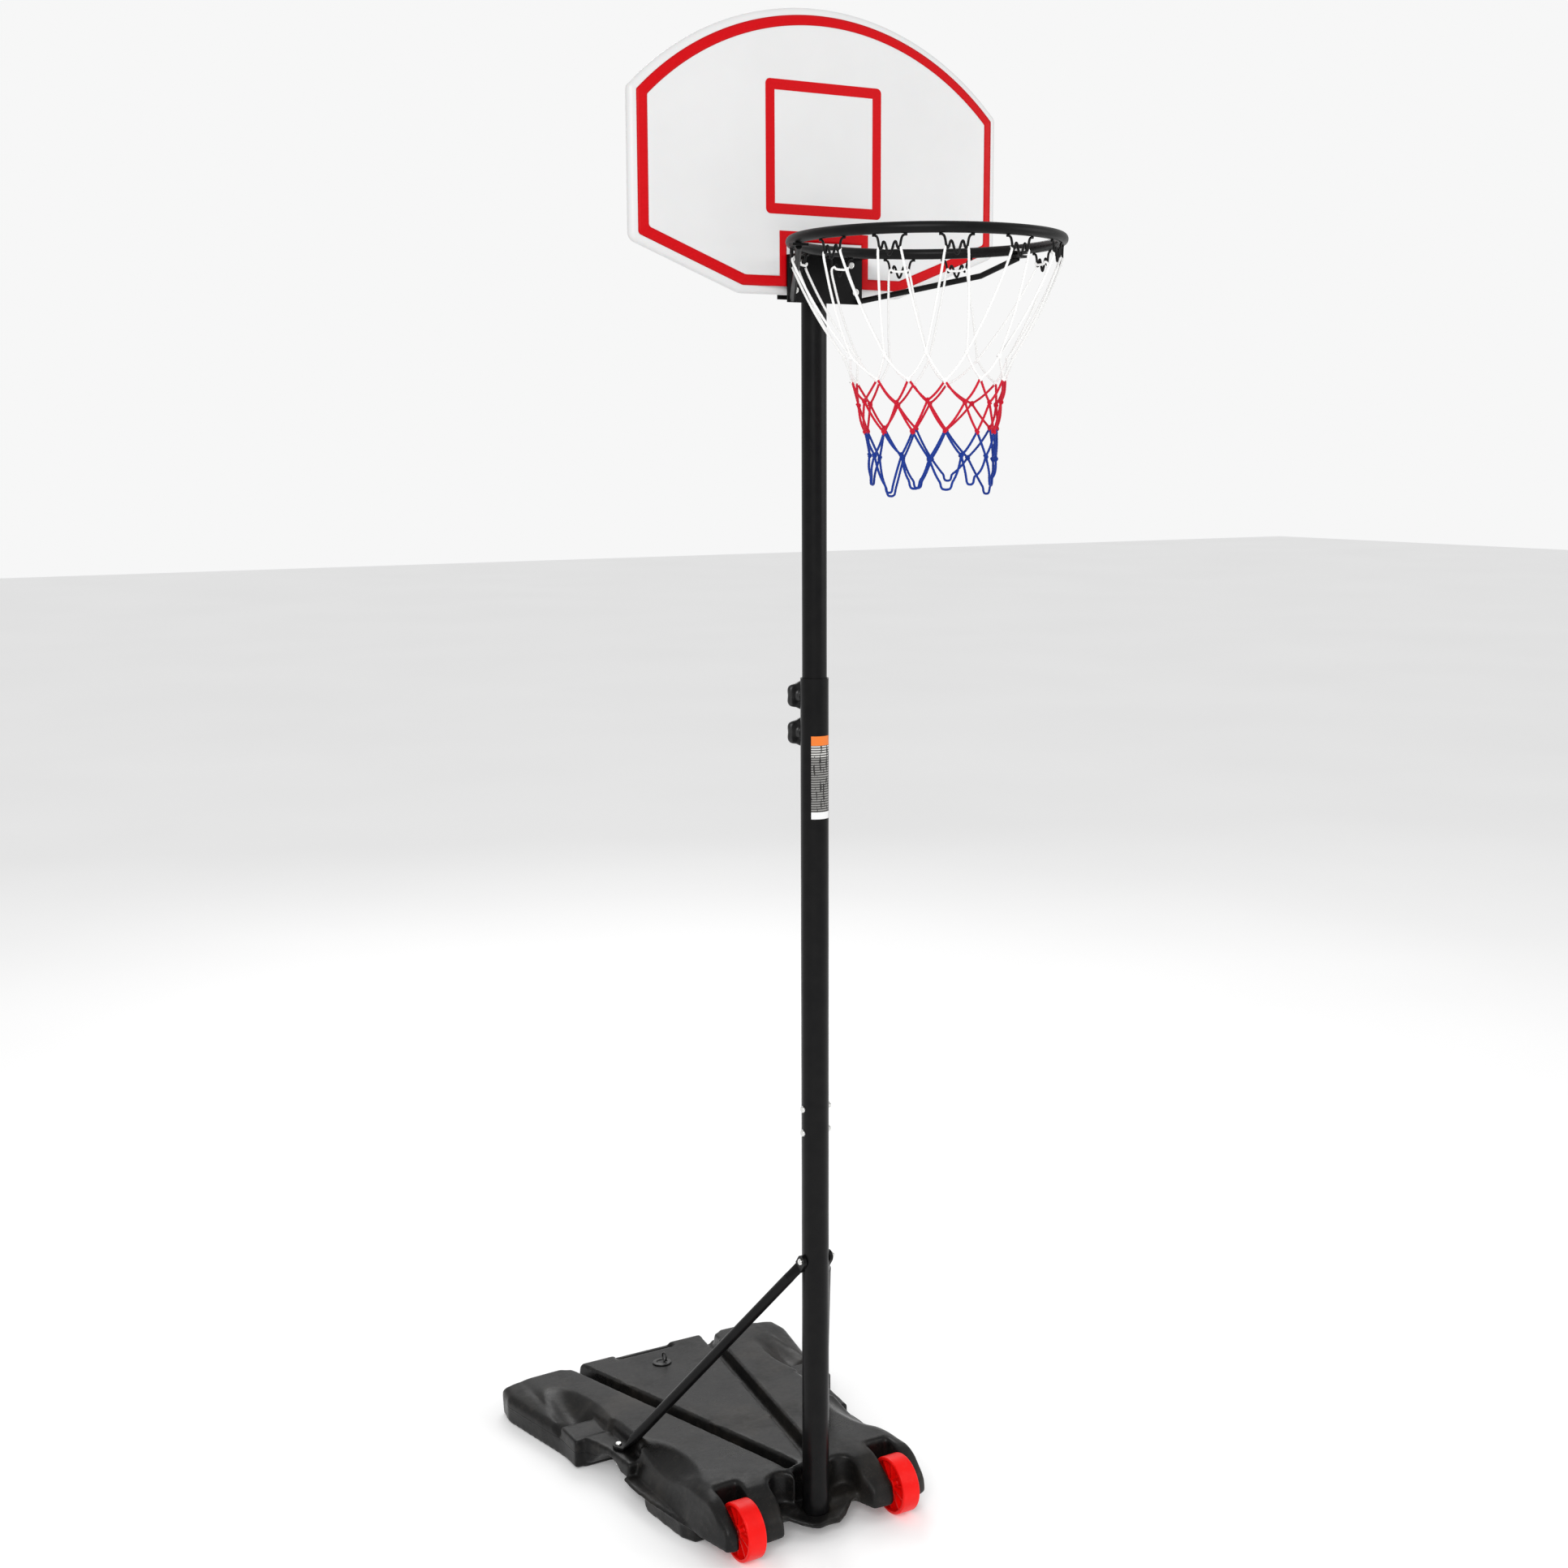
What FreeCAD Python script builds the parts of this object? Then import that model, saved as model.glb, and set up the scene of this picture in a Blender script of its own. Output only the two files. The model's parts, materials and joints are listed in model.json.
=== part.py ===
"""Portable basketball hoop: wheeled base tank, telescopic pole, backboard, rim and net.

Frame: millimetres, +Z up, the floor at Z = 0. The pole stands on the Z axis while the parts are
made; the hoop faces -Y and the board runs along X. Every sub-part is then moved by the same
placement, so that the origin lies on the floor under the middle of the whole object.
"""
import FreeCAD, Part
import math
import os

import Sketcher
from FreeCAD import Placement, Rotation, Vector

os.makedirs("parts", exist_ok=True)
doc = FreeCAD.newDocument("portable_hoop")

# ---------------------------------------------------------------- driving dimensions

SIZES = {
    # telescopic pole
    "pole_diameter": 47,
    "pole_bore": 43,
    "upper_diameter": 41,
    "upper_bore": 37.4,
    "foot_level": 26,
    "seam_level": 710,
    "neck_length": 100,
    "neck_diameter": 42.8,
    "neck_bore": 39,
    "middle_top_level": 1515,
    "upper_foot_level": 1330,
    "upper_top_level": 2330,
    "seam_bolt_low": 734,
    "seam_bolt_high": 776,
    "knob_low": 1419,
    "knob_high": 1481,
    "knob_radius": 23,
    "knob_thickness": 20,
    "knob_gap": 12,
    "stud_diameter": 10,
    "weld_nut_height": 8,
    "label_low": 1281,
    "label_high": 1420,
    "label_angle": 90,
    "label_thickness": 0.3,
    # struts
    "strut_diameter": 19,
    "strut_wall": 1.5,
    "strut_level": 503,
    "strut_foot_x": 222,
    "strut_foot_y": 340,
    "strut_tab": 6,
    "ear_top": 60,
    "ear_thickness": 28,
    "block_top": 57,
    "bolt_shank": 6,
    "bolt_head": 12,
    "bolt_head_height": 3.5,
    "nut_width": 10,
    "nut_height": 5,
    # base tank
    "tank_half_width": 317,
    "tank_back": 700,
    "lip_front": -58,
    "lip_low": 26,
    "lip_high": 38,
    "tray_height": 44,
    "crown_slope": 4.2,
    "crown_level": 112,
    "channel_depth": 28,
    "channel_width": 30,
    "tank_wall": 5,
    "wheel_clearance": 26,
    "wheel_diameter": 102,
    "wheel_width": 35,
    "wheel_x": 157,
    "wheel_y": -21,
    "wheel_slot": 43,
    "axle_diameter": 8,
    "axle_length": 88,
    "cup_x": 60,
    "cup_radius": 27,
    "cup_floor": 46,
    "filler_y": 600,
    "filler_bore": 30,
    "grip_length": 126,
    "grip_width": 17,
    "grip_depth": 34,
    "grip_rail_drop": 7,
    "grip_y": 669,
    # backboard
    "board_half_width": 337,
    "board_bottom": 2128,
    "board_chamfer_level": 2201,
    "board_chamfer_x": 148,
    "board_side_top": 2424,
    "board_top": 2565,
    "board_top_slope": 43.5,
    "board_face": -32,
    "board_thickness": 26,
    "board_wall": 3.5,
    "stripe_width": 16,
    "stripe_inset": 12,
    "stripe_thickness": 0.4,
    "square_half_width": 106,
    "square_low": 2250,
    "square_high": 2452,
    "target_half_width": 82,
    "target_high": 2225,
    # rim, clips and net
    "rim_tube": 16,
    "rim_bore": 381,
    "rim_level": 2187,
    "rim_centre": -319,
    "plate_half_width": 69,
    "plate_low": 2116,
    "plate_high": 2189,
    "plate_thickness": 3,
    "bracket_width": 49,
    "bracket_height": 78,
    "clamp_bolt_y": 3.4,
    "shelf_reach": 92,
    "brace_diameter": 9,
    "brace_angle": 79,
    "clip_wire": 3.6,
    "cord_diameter": 3.6,
    "knot_diameter": 8,
}

sheet = doc.addObject("Spreadsheet::Sheet", "Sizes")
for row, (alias, value) in enumerate(SIZES.items(), start=1):
    sheet.set(f"A{row}", alias)
    sheet.set(f"B{row}", str(value))
    sheet.setAlias(f"B{row}", alias)
doc.recompute()

X_AXIS, Y_AXIS, Z_AXIS = Vector(1, 0, 0), Vector(0, 1, 0), Vector(0, 0, 1)
SUB_PARTS = []


def size(alias):
    """The value of one driving dimension."""
    return float(sheet.get(alias))


def keep(obj, label):
    """Names a finished sub-part; its label is the name of its file."""
    obj.Label = label
    SUB_PARTS.append(obj)
    return obj


def frame_along(direction):
    """The rotation that turns +Z to a direction."""
    return Rotation(Z_AXIS, direction)


# ---------------------------------------------------------------- bound primitives


def bind(obj, **expressions):
    """Binds properties of an object to cells of the sheet."""
    for name, expression in expressions.items():
        if isinstance(expression, str):
            obj.setExpression(name, expression)
        else:
            setattr(obj, name, expression)
    return obj


def cylinder(name, at, direction, radius, length):
    """A cylinder from a point along a direction; radius and length are expressions or numbers."""
    obj = doc.addObject("Part::Cylinder", name)
    bind(obj, Radius=radius, Height=length)
    obj.Placement = Placement(at, frame_along(direction))
    return obj


def box(name, corner, length, width, height):
    """An upright box from its lowest corner."""
    obj = doc.addObject("Part::Box", name)
    bind(obj, Length=length, Width=width, Height=height)
    obj.Placement = Placement(corner, Rotation())
    return obj


def fuse(name, pieces):
    """Joins several objects into one."""
    obj = doc.addObject("Part::MultiFuse", name)
    obj.Shapes = pieces
    return obj


def cut(name, base, tools):
    """Takes one or more tools away from a base."""
    obj = doc.addObject("Part::Cut", name)
    obj.Base = base
    obj.Tool = tools[0] if len(tools) == 1 else fuse(name + "_tools", tools)
    return obj


def solid(name, shape):
    """A piece whose shape is worked out in code."""
    obj = doc.addObject("Part::Feature", name)
    obj.Shape = shape
    return obj


def group(name, shapes):
    """Several separate solids kept as one sub-part."""
    return solid(name, Part.makeCompound(shapes))


# ---------------------------------------------------------------- sketches and bodies


def sketch_on(body, role, name, offset=None):
    """A sketch on one of a body's own origin planes."""
    sketch = body.newObject("Sketcher::SketchObject", name)
    plane = next(f for f in body.Origin.OriginFeatures if f.Role == role)
    sketch.AttachmentSupport = [(plane, "")]
    sketch.MapMode = "FlatFace"
    if offset is not None:
        sketch.AttachmentOffset = offset
    return sketch


def draw_outline(sketch, corners):
    """A closed outline through corners (x, y, radius), each rounded by a tangent arc."""
    count = len(corners)
    points = [Vector(x, y, 0) for x, y, _ in corners]
    starts, ends, arcs = [], [], []
    for i, (_, _, radius) in enumerate(corners):
        here, before, after = points[i], points[i - 1], points[(i + 1) % count]
        to_before = (before - here).normalize()
        to_after = (after - here).normalize()
        turn = to_before.getAngle(to_after)
        if radius <= 0 or turn > math.radians(179.9):
            starts.append(here)
            ends.append(here)
            arcs.append(None)
            continue
        reach = radius / math.tan(turn / 2)
        first, last = here + to_before * reach, here + to_after * reach
        middle_dir = (to_before + to_after).normalize()
        centre = here + middle_dir * (radius / math.sin(turn / 2))
        middle = centre - middle_dir * radius
        starts.append(first)
        ends.append(last)
        arcs.append(Part.ArcOfCircle(first, middle, last))
    for i in range(count):
        if arcs[i] is not None:
            sketch.addGeometry(arcs[i], False)
        following = starts[(i + 1) % count]
        if (ends[i] - following).Length > 1e-6:
            sketch.addGeometry(Part.LineSegment(ends[i], following), False)
    return sketch


def draw_circle(sketch, x, y, radius_alias):
    """A circle whose radius follows the sheet."""
    index = sketch.addGeometry(Part.Circle(Vector(x, y, 0), Z_AXIS, 1.0), False)
    sketch.addConstraint(Sketcher.Constraint("Radius", index, 1.0))
    sketch.setExpression(f"Constraints[{sketch.ConstraintCount - 1}]", radius_alias)
    return sketch


def mirrored(corners):
    """The whole outline from its right half, which runs from the front to the back."""
    left = [(-x, y, radius) for x, y, radius in reversed(corners) if x != 0]
    return list(corners) + left


def pad(body, sketch, length, name, **more):
    """A pad of a sketch by a length, an expression or a number."""
    feature = body.newObject("PartDesign::Pad", name)
    feature.Profile = sketch
    bind(feature, Length=length, **more)
    return feature


def pocket(body, sketch, length, name, **more):
    """A pocket of a sketch by a length, an expression or a number."""
    feature = body.newObject("PartDesign::Pocket", name)
    feature.Profile = sketch
    bind(feature, Length=length, **more)
    return feature


def crown_plane(drop=0.0):
    """The placement of a sketch that lies on the tank's sloping crown, or below it by a drop."""
    tilt = Rotation(X_AXIS, -size("crown_slope"))
    return Placement(Vector(0, 0, size("crown_level") - drop), tilt)


# ---------------------------------------------------------------- base tank

WHEEL_IN = size("wheel_x") - size("wheel_slot") / 2
WHEEL_OUT = size("wheel_x") + size("wheel_slot") / 2
SLOT_BACK = size("wheel_y") + size("wheel_diameter") / 2 + 7
BACK = size("tank_back")
SKY = 60
FRONT_SLOPE = [(56, 112, 0), (18, 102, 40), (-34, 72, 40), (-90, 26, 0), (-90, 190, 0), (56, 190, 0)]
WING_PROFILE = [(190, 110, 0), (232, 80, 40), (270, 52, 40), (340, 34, 0), (340, 150, 0), (190, 150, 0)]


def tray_corners(inset):
    """Right half of the tank's widest outline, front to back, drawn in by an inset."""
    return [
        (78, -8 + inset, 10),
        (92, -50 + inset, 22),
        (WHEEL_IN - inset, -52 + inset, 12),
        (WHEEL_IN - inset, SLOT_BACK + inset, 8),
        (WHEEL_OUT + inset, SLOT_BACK + inset, 8),
        (WHEEL_OUT + inset, -54 + inset, 10),
        (206 - inset, -46 + inset, 16),
        (222 - inset, 34, 60),
        (232 - inset, 90, 60),
        (252 - inset, 236, 40),
        (250 - inset, 274 - inset, 10),
        (208 - inset, 288 - inset, 8),
        (208 - inset, 398 + inset, 8),
        (262 - inset, 404 + inset, 8),
        (274 - inset, 424, 20),
        (size("tank_half_width") - inset, 648, 40),
        (308 - inset, 688 - inset, 26),
        (150, BACK - inset, 120),
    ]


def hull_corners(inset):
    """Right half of the upper hull, which is drawn in from the tray along the sides."""
    return [
        (78, -8 + inset, 10),
        (92, -44 + inset, 22),
        (WHEEL_IN - inset, -48 + inset, 12),
        (WHEEL_IN - inset, SLOT_BACK + inset, 8),
        (WHEEL_OUT + inset, SLOT_BACK + inset, 8),
        (WHEEL_OUT + inset, -48 + inset, 10),
        (201 - inset, -40 + inset, 16),
        (217 - inset, 34, 60),
        (226 - inset, 90, 60),
        (242 - inset, 236, 40),
        (240 - inset, 270 - inset, 10),
        (188 - inset, 288 - inset, 8),
        (188 - inset, 398 + inset, 8),
        (254 - inset, 406 + inset, 8),
        (264 - inset, 428, 20),
        (308 - inset, 640, 40),
        (294 - inset, 678 - inset, 26),
        (150, BACK - 8 - inset, 120),
    ]


def channel_corners(side, widening):
    """One channel of the V, from the back edge to the pole, wider by twice a widening."""
    half = size("channel_width") / 2 + widening
    back, front = Vector(side * 156, BACK + 20, 0), Vector(side * 24, 44, 0)
    across = (back - front).cross(Z_AXIS).normalize() * half
    ends = [front + across, back + across, back - across, front - across]
    return [(p.x, p.y, 0) for p in ends]


def build_tank_hull():
    """The outside of the tank as one solid."""
    body = doc.addObject("PartDesign::Body", "TankHull")
    tray = draw_outline(sketch_on(body, "XY_Plane", "TrayOutline"), mirrored(tray_corners(0)))
    pad(body, tray, "Sizes.tray_height", "Tray")
    hull = draw_outline(sketch_on(body, "XY_Plane", "HullOutline"), mirrored(hull_corners(0)))
    pad(body, hull, "Sizes.crown_level + 12", "Hull")

    crown = sketch_on(body, "XY_Plane", "CrownPlane", crown_plane())
    draw_outline(crown, [(-400, -120, 0), (400, -120, 0), (400, 760, 0), (-400, 760, 0)])
    pocket(body, crown, SKY * 2, "CrownCut", Reversed=True)

    slope = sketch_on(body, "YZ_Plane", "FrontSlope")
    draw_outline(slope, FRONT_SLOPE)
    pocket(body, slope, 600, "FrontSlopeCut", Midplane=True)

    for side in (-1, 1):
        wing = sketch_on(body, "XZ_Plane", "Wing" + ("Left" if side < 0 else "Right"))
        draw_outline(wing, [(side * x, z, radius) for x, z, radius in WING_PROFILE])
        wing.AttachmentOffset = Placement(Vector(0, 0, -118), Rotation())
        pocket(body, wing, 620, wing.Name + "Cut")

        channel = sketch_on(body, "XY_Plane", wing.Name + "Channel", crown_plane())
        draw_outline(channel, channel_corners(side, 0))
        pocket(body, channel, "Sizes.channel_depth", channel.Name + "Cut")
    return body


def carve_tank(body):
    """Cuts the pole's socket, the front well, the cups, the hand grip and the underside."""
    well = sketch_on(body, "XY_Plane", "FrontWell", Placement(Vector(0, 0, SKY * 3), Rotation()))
    draw_outline(well, [(-40, -90, 0), (40, -90, 0), (24, 4, 0), (-24, 4, 0)])
    pocket(body, well, f"{SKY * 3} - Sizes.lip_high", "FrontWellCut")

    for side in (-1, 1):
        name = "Left" if side < 0 else "Right"
        cup = sketch_on(body, "XY_Plane", name + "Cup", Placement(Vector(0, 0, SKY * 3), Rotation()))
        draw_circle(cup, side * size("cup_x"), 6, "Sizes.cup_radius")
        pocket(body, cup, f"{SKY * 3} - Sizes.cup_floor", name + "CupCut")

        axle = sketch_on(body, "YZ_Plane", name + "AxleBore")
        axle.AttachmentOffset = Placement(Vector(0, 0, side * size("wheel_x") + AXLE_HALF), Rotation())
        draw_circle(axle, size("wheel_y"), size("wheel_diameter") / 2, "Sizes.axle_diameter / 2 + 0.05")
        pocket(body, axle, "Sizes.axle_length", name + "AxleBoreCut")

        under = sketch_on(body, "XY_Plane", name + "Clearance")
        edge = [(side * 74, -90, 0), (side * 260, -90, 0), (side * 260, 44, 0), (side * 74, 44, 0)]
        draw_outline(under, edge)
        pocket(body, under, "Sizes.wheel_clearance", name + "ClearanceCut", Reversed=True)

        ear = sketch_on(body, "XY_Plane", name + "Ear")
        ear.AttachmentOffset = Placement(Vector(0, 0, size("ear_top")), Rotation())
        edge = [(182, 268, 0), (238, 268, 0), (242, 312, 20), (244, 350, 14), (254, 410, 0), (182, 410, 0)]
        draw_outline(ear, [(side * x, y, radius) for x, y, radius in edge])
        pad(body, ear, "Sizes.ear_thickness", name + "EarPad", Reversed=True)

        block = sketch_on(body, "XY_Plane", name + "Block", Placement(Vector(0, 0, 3), Rotation()))
        edge = [(212, 404, 3), (281, 404, 4), (281, 474, 4), (212, 474, 3)]
        draw_outline(block, [(side * x, y, radius) for x, y, radius in edge])
        pad(body, block, "Sizes.block_top - 3", name + "BlockPad")

        seat = sketch_on(body, "XY_Plane", name + "EarBore", Placement(Vector(0, 0, SKY * 3), Rotation()))
        draw_circle(seat, side * size("strut_foot_x"), size("strut_foot_y"), "Sizes.bolt_shank / 2 + 0.1")
        pocket(body, seat, SKY * 3, name + "EarBoreCut")

    lip_plane = Placement(Vector(0, 0, size("lip_low")), Rotation())
    lip = sketch_on(body, "XY_Plane", "FrontLip", lip_plane)
    front = size("lip_front")
    corners = [(22, front, 18), (44, front + 12, 20), (84, front + 28, 10), (92, 10, 0)]
    draw_outline(lip, mirrored(corners))
    pad(body, lip, "Sizes.lip_high - Sizes.lip_low", "FrontLipPad")

    socket = sketch_on(body, "XY_Plane", "PoleSocket", Placement(Vector(0, 0, SKY * 3), Rotation()))
    draw_circle(socket, 0, 0, "Sizes.pole_diameter / 2 + 0.3")
    pocket(body, socket, f"{SKY * 3} - Sizes.foot_level", "PoleSocketCut")

    grip = sketch_on(body, "XY_Plane", "HandGrip", crown_plane())
    half, near = size("grip_length") / 2, size("grip_y")
    far = near + size("grip_width")
    draw_outline(grip, [(-half, near, 6), (half, near, 6), (half, far, 6), (-half, far, 6)])
    pocket(body, grip, "Sizes.grip_depth", "HandGripCut")
    rail = sketch_on(body, "XY_Plane", "GripRail", crown_plane())
    rail_front, rail_back = far - 8, BACK + 20
    corners = [(-half, rail_front, 0), (half, rail_front, 0), (half, rail_back, 0), (-half, rail_back, 0)]
    draw_outline(rail, corners)
    pocket(body, rail, "Sizes.grip_rail_drop", "GripRailCut")
    return body


def build_tank_cavity():
    """The hollow inside the tank, one wall away from every face."""
    wall = size("tank_wall")
    body = doc.addObject("PartDesign::Body", "TankCavity")
    low = [(190, 60, 0), (220, 70, 0), (220, 264, 0), (194, 276, 0), (194, 408, 0), (250, 414, 0)]
    low += [(264, 430, 0), (size("tank_half_width") - 11, 636, 0), (288, 672, 0), (150, BACK - 12, 0)]
    tray = sketch_on(body, "XY_Plane", "LowHollow", Placement(Vector(0, 0, wall), Rotation()))
    draw_outline(tray, mirrored(low))
    pad(body, tray, "Sizes.tray_height - 3 * Sizes.tank_wall", "LowHollowPad")

    def chamber(name, corners, floor=wall + 4):
        sketch = sketch_on(body, "XY_Plane", name, Placement(Vector(0, 0, floor), Rotation()))
        draw_outline(sketch, corners)
        pad(body, sketch, "Sizes.crown_level", name + "Pad")

    chamber("MiddleChamber", [(0, 120, 0), (98, size("grip_y") - 30, 0), (-98, size("grip_y") - 30, 0)])
    for side in (-1, 1):
        name = "Left" if side < 0 else "Right"
        edge = [(92, 60, 0), (216, 60, 0), (216, 258, 0), (176, 274, 0), (176, 414, 0), (242, 416, 0)]
        edge += [(254, 432, 0), (294, 626, 0), (182, 636, 0), (76, 90, 0)]
        chamber(name + "Chamber", [(side * x, y, radius) for x, y, radius in edge])
        above_clearance = size("wheel_clearance") + wall
        lobes = {
            "Behind": [(97, SLOT_BACK + wall), (210, SLOT_BACK + wall), (214, 70), (97, 70)],
            "Inner": [(97, -36), (WHEEL_IN - wall, -38), (WHEEL_IN - wall, 60), (97, 60)],
            "Outer": [(WHEEL_OUT + wall, -38), (194, -32), (211, 60), (WHEEL_OUT + wall, 60)],
        }
        for place, edge in lobes.items():
            corners = [(side * x, y, 0) for x, y in edge]
            chamber(name + place + "Lobe", corners, above_clearance)

        wing = sketch_on(body, "XZ_Plane", "Inner" + ("Left" if side < 0 else "Right") + "Wing")
        wing.AttachmentOffset = Placement(Vector(0, 0, -50), Rotation())
        corners = [(side * x, z - wall, radius) for x, z, radius in WING_PROFILE]
        draw_outline(wing, corners)
        pocket(body, wing, 700, wing.Name + "Cut")

    slope = sketch_on(body, "YZ_Plane", "InnerSlope")
    draw_outline(slope, [(y, z - wall, radius) for y, z, radius in FRONT_SLOPE])
    pocket(body, slope, 600, "InnerSlopeCut", Midplane=True)

    crown = sketch_on(body, "XY_Plane", "InnerCrown", crown_plane(wall))
    draw_outline(crown, [(-400, -120, 0), (400, -120, 0), (400, 760, 0), (-400, 760, 0)])
    pocket(body, crown, SKY * 3, "InnerCrownCut", Reversed=True)
    return body


AXLE_HALF = size("axle_length") / 2
tank_hull = carve_tank(build_tank_hull())
tank_cavity = build_tank_cavity()
CROWN_TILT = Rotation(X_AXIS, -size("crown_slope"))
CROWN_NORMAL = CROWN_TILT.multVec(Z_AXIS)


def crown_height(y):
    """The level of the sloping crown at a distance behind the pole."""
    return size("crown_level") - math.tan(math.radians(size("crown_slope"))) * y


PLUG_SEAT = Vector(0, size("filler_y"), crown_height(size("filler_y")))
bore_start = PLUG_SEAT - CROWN_NORMAL * 30
filler_bore = cylinder("FillerBore", bore_start, CROWN_NORMAL, "Sizes.filler_bore / 2", 60)
base_tank = keep(cut("BaseTank", tank_hull, [tank_cavity, filler_bore]), "base_tank")

# ---------------------------------------------------------------- wheels, axles and filler plug


def build_wheel(name):
    """A wheel about +Z: a broad tread, a recessed face with ten ribs and a hub."""
    body = doc.addObject("PartDesign::Body", name)
    radius, half = size("wheel_diameter") / 2, size("wheel_width") / 2
    section = sketch_on(body, "XZ_Plane", name + "Section")
    bore = size("axle_diameter") / 2 + 0.3
    corners = [
        (bore, -half + 2, 0),
        (13, -half + 2, 1),
        (14, -5, 2),
        (radius - 8, -5, 2),
        (radius - 6, -half, 1),
        (radius, -half, 3),
        (radius, half, 3),
        (radius - 6, half, 1),
        (radius - 8, 5, 2),
        (14, 5, 2),
        (13, half - 2, 1),
        (bore, half - 2, 0),
    ]
    draw_outline(section, corners)
    turned = body.newObject("PartDesign::Revolution", name + "Turned")
    turned.Profile = section
    turned.ReferenceAxis = (section, ["V_Axis"])
    turned.Angle = 360
    doc.recompute()
    rib = sketch_on(body, "XY_Plane", name + "Rib")
    draw_outline(rib, [(10, -1.6, 0), (radius - 4, -1.6, 0), (radius - 4, 1.6, 0), (10, 1.6, 0)])
    rib_pad = pad(body, rib, "Sizes.wheel_width - 10", name + "RibPad", Midplane=True)
    ribs = body.newObject("PartDesign::PolarPattern", name + "Ribs")
    ribs.Originals = [rib_pad]
    ribs.Axis = (section, ["V_Axis"])
    ribs.Angle = 360
    ribs.Occurrences = 10
    body.Tip = ribs
    return body


for side, name in ((-1, "left"), (1, "right")):
    middle = Vector(side * size("wheel_x"), size("wheel_y"), size("wheel_diameter") / 2)
    wheel = keep(build_wheel("Wheel" + name.title()), "wheel_" + name)
    wheel.Placement = Placement(middle, frame_along(X_AXIS))
    start = middle - X_AXIS * (AXLE_HALF - 0.5)
    radius, length = "Sizes.axle_diameter / 2", "Sizes.axle_length - 1"
    keep(cylinder("Axle" + name.title(), start, X_AXIS, radius, length), "wheel_axle_" + name)


def build_plug():
    """The filler plug: a stepped stopper with a shallow dished cap, about +Z."""
    body = doc.addObject("PartDesign::Body", "FillerPlug")
    section = sketch_on(body, "XZ_Plane", "PlugSection")
    neck = size("filler_bore") / 2 - 0.2
    corners = [(0, -9, 0), (neck - 2, -9, 1), (neck, -6, 1), (neck, 0.4, 0)]
    corners += [(neck + 4, 0.4, 0), (neck + 4, 2.6, 1.5), (neck - 3, 3.4, 1), (neck - 5, 1, 1), (0, 1, 0)]
    draw_outline(section, corners)
    turned = body.newObject("PartDesign::Revolution", "PlugTurned")
    turned.Profile = section
    turned.ReferenceAxis = (section, ["V_Axis"])
    turned.Angle = 360
    return body


plug = keep(build_plug(), "filler_plug")
plug.Placement = Placement(PLUG_SEAT, CROWN_TILT)

pull = doc.addObject("Part::Torus", "PullRing")
bind(pull, Radius1=8, Radius2=1.6)
ring_tilt = CROWN_TILT.multiply(Rotation(Y_AXIS, 90))
pull.Placement = Placement(PLUG_SEAT + CROWN_TILT.multVec(Vector(6, 0, 10.9)), ring_tilt)
keep(pull, "filler_pull_ring")

# ---------------------------------------------------------------- pole tubes


def tube(name, level, length, outer, inner):
    """An upright round tube on the pole's axis."""
    outside = cylinder(name + "Outside", Z_AXIS * level, Z_AXIS, outer, length)
    inside = cylinder(name + "Inside", Z_AXIS * level, Z_AXIS, inner, length)
    return cut(name, outside, [inside])


def cross_hole(name, level, alias, behind=0.0):
    """A drill through the pole along X at a level, on the axis or a little behind it."""
    return cylinder(name, Vector(-40, behind, level), X_AXIS, alias, 80)


foot, seam, neck_end = size("foot_level"), size("seam_level"), size("seam_level") + size("neck_length")
POLE_OUT, POLE_IN = "Sizes.pole_diameter / 2", "Sizes.pole_bore / 2"
UPPER_OUT, UPPER_IN = "Sizes.upper_diameter / 2", "Sizes.upper_bore / 2"
low_tube = tube("LowTube", foot, "Sizes.seam_level - Sizes.foot_level", POLE_OUT, POLE_IN)
neck = tube("Neck", seam - 4, "Sizes.neck_length + 4", "Sizes.neck_diameter / 2", "Sizes.neck_bore / 2")
neck_web = tube("NeckWeb", seam - 4, 4, POLE_IN + " + 0.5", "Sizes.neck_bore / 2")
SEAM_LEVELS = [size("seam_bolt_low"), size("seam_bolt_high")]
SHANK = "Sizes.bolt_shank / 2 + 0.1"
low_levels = [*SEAM_LEVELS, size("strut_level")]
drills = [cross_hole(f"LowDrill{i}", level, SHANK) for i, level in enumerate(low_levels)]
keep(cut("PoleBottom", fuse("LowStack", [low_tube, neck, neck_web]), drills), "pole_bottom")

middle_length = "Sizes.middle_top_level - Sizes.seam_level"
middle_tube = tube("MiddleTube", seam, middle_length, POLE_OUT, POLE_IN)
drills = [cross_hole(f"MiddleDrill{i}", level, SHANK) for i, level in enumerate(SEAM_LEVELS)]
KNOB_LEVELS = [size("knob_low"), size("knob_high")]
STUD = "Sizes.stud_diameter / 2 + 0.1"
for i, level in enumerate(KNOB_LEVELS):
    drills.append(cylinder(f"StudDrill{i}", Z_AXIS * level, Y_AXIS, STUD, 40))
keep(cut("PoleMiddle", middle_tube, drills), "pole_middle")

upper_length = "Sizes.upper_top_level - Sizes.upper_foot_level"
upper_tube = tube("UpperTube", size("upper_foot_level"), upper_length, UPPER_OUT, UPPER_IN)
CLAMP_LEVELS = [size("plate_low") + 22, size("plate_high") - 12]
CLAMP_Y = size("clamp_bolt_y")
drills = [
    cross_hole(f"UpperDrill{i}", level, SHANK, CLAMP_Y)
    for i, level in enumerate(CLAMP_LEVELS)
]
keep(cut("PoleUpper", upper_tube, drills), "pole_upper")


def round_cap(name, level, outer, inner, up):
    """A push-in end cap: a flat head and a stub that fills the tube's bore."""
    head = cylinder(name + "Head", Z_AXIS * level, Z_AXIS * up, outer, 4)
    stub = cylinder(name + "Stub", Z_AXIS * level, Z_AXIS * -up, inner, 16)
    return fuse(name, [head, stub])


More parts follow.
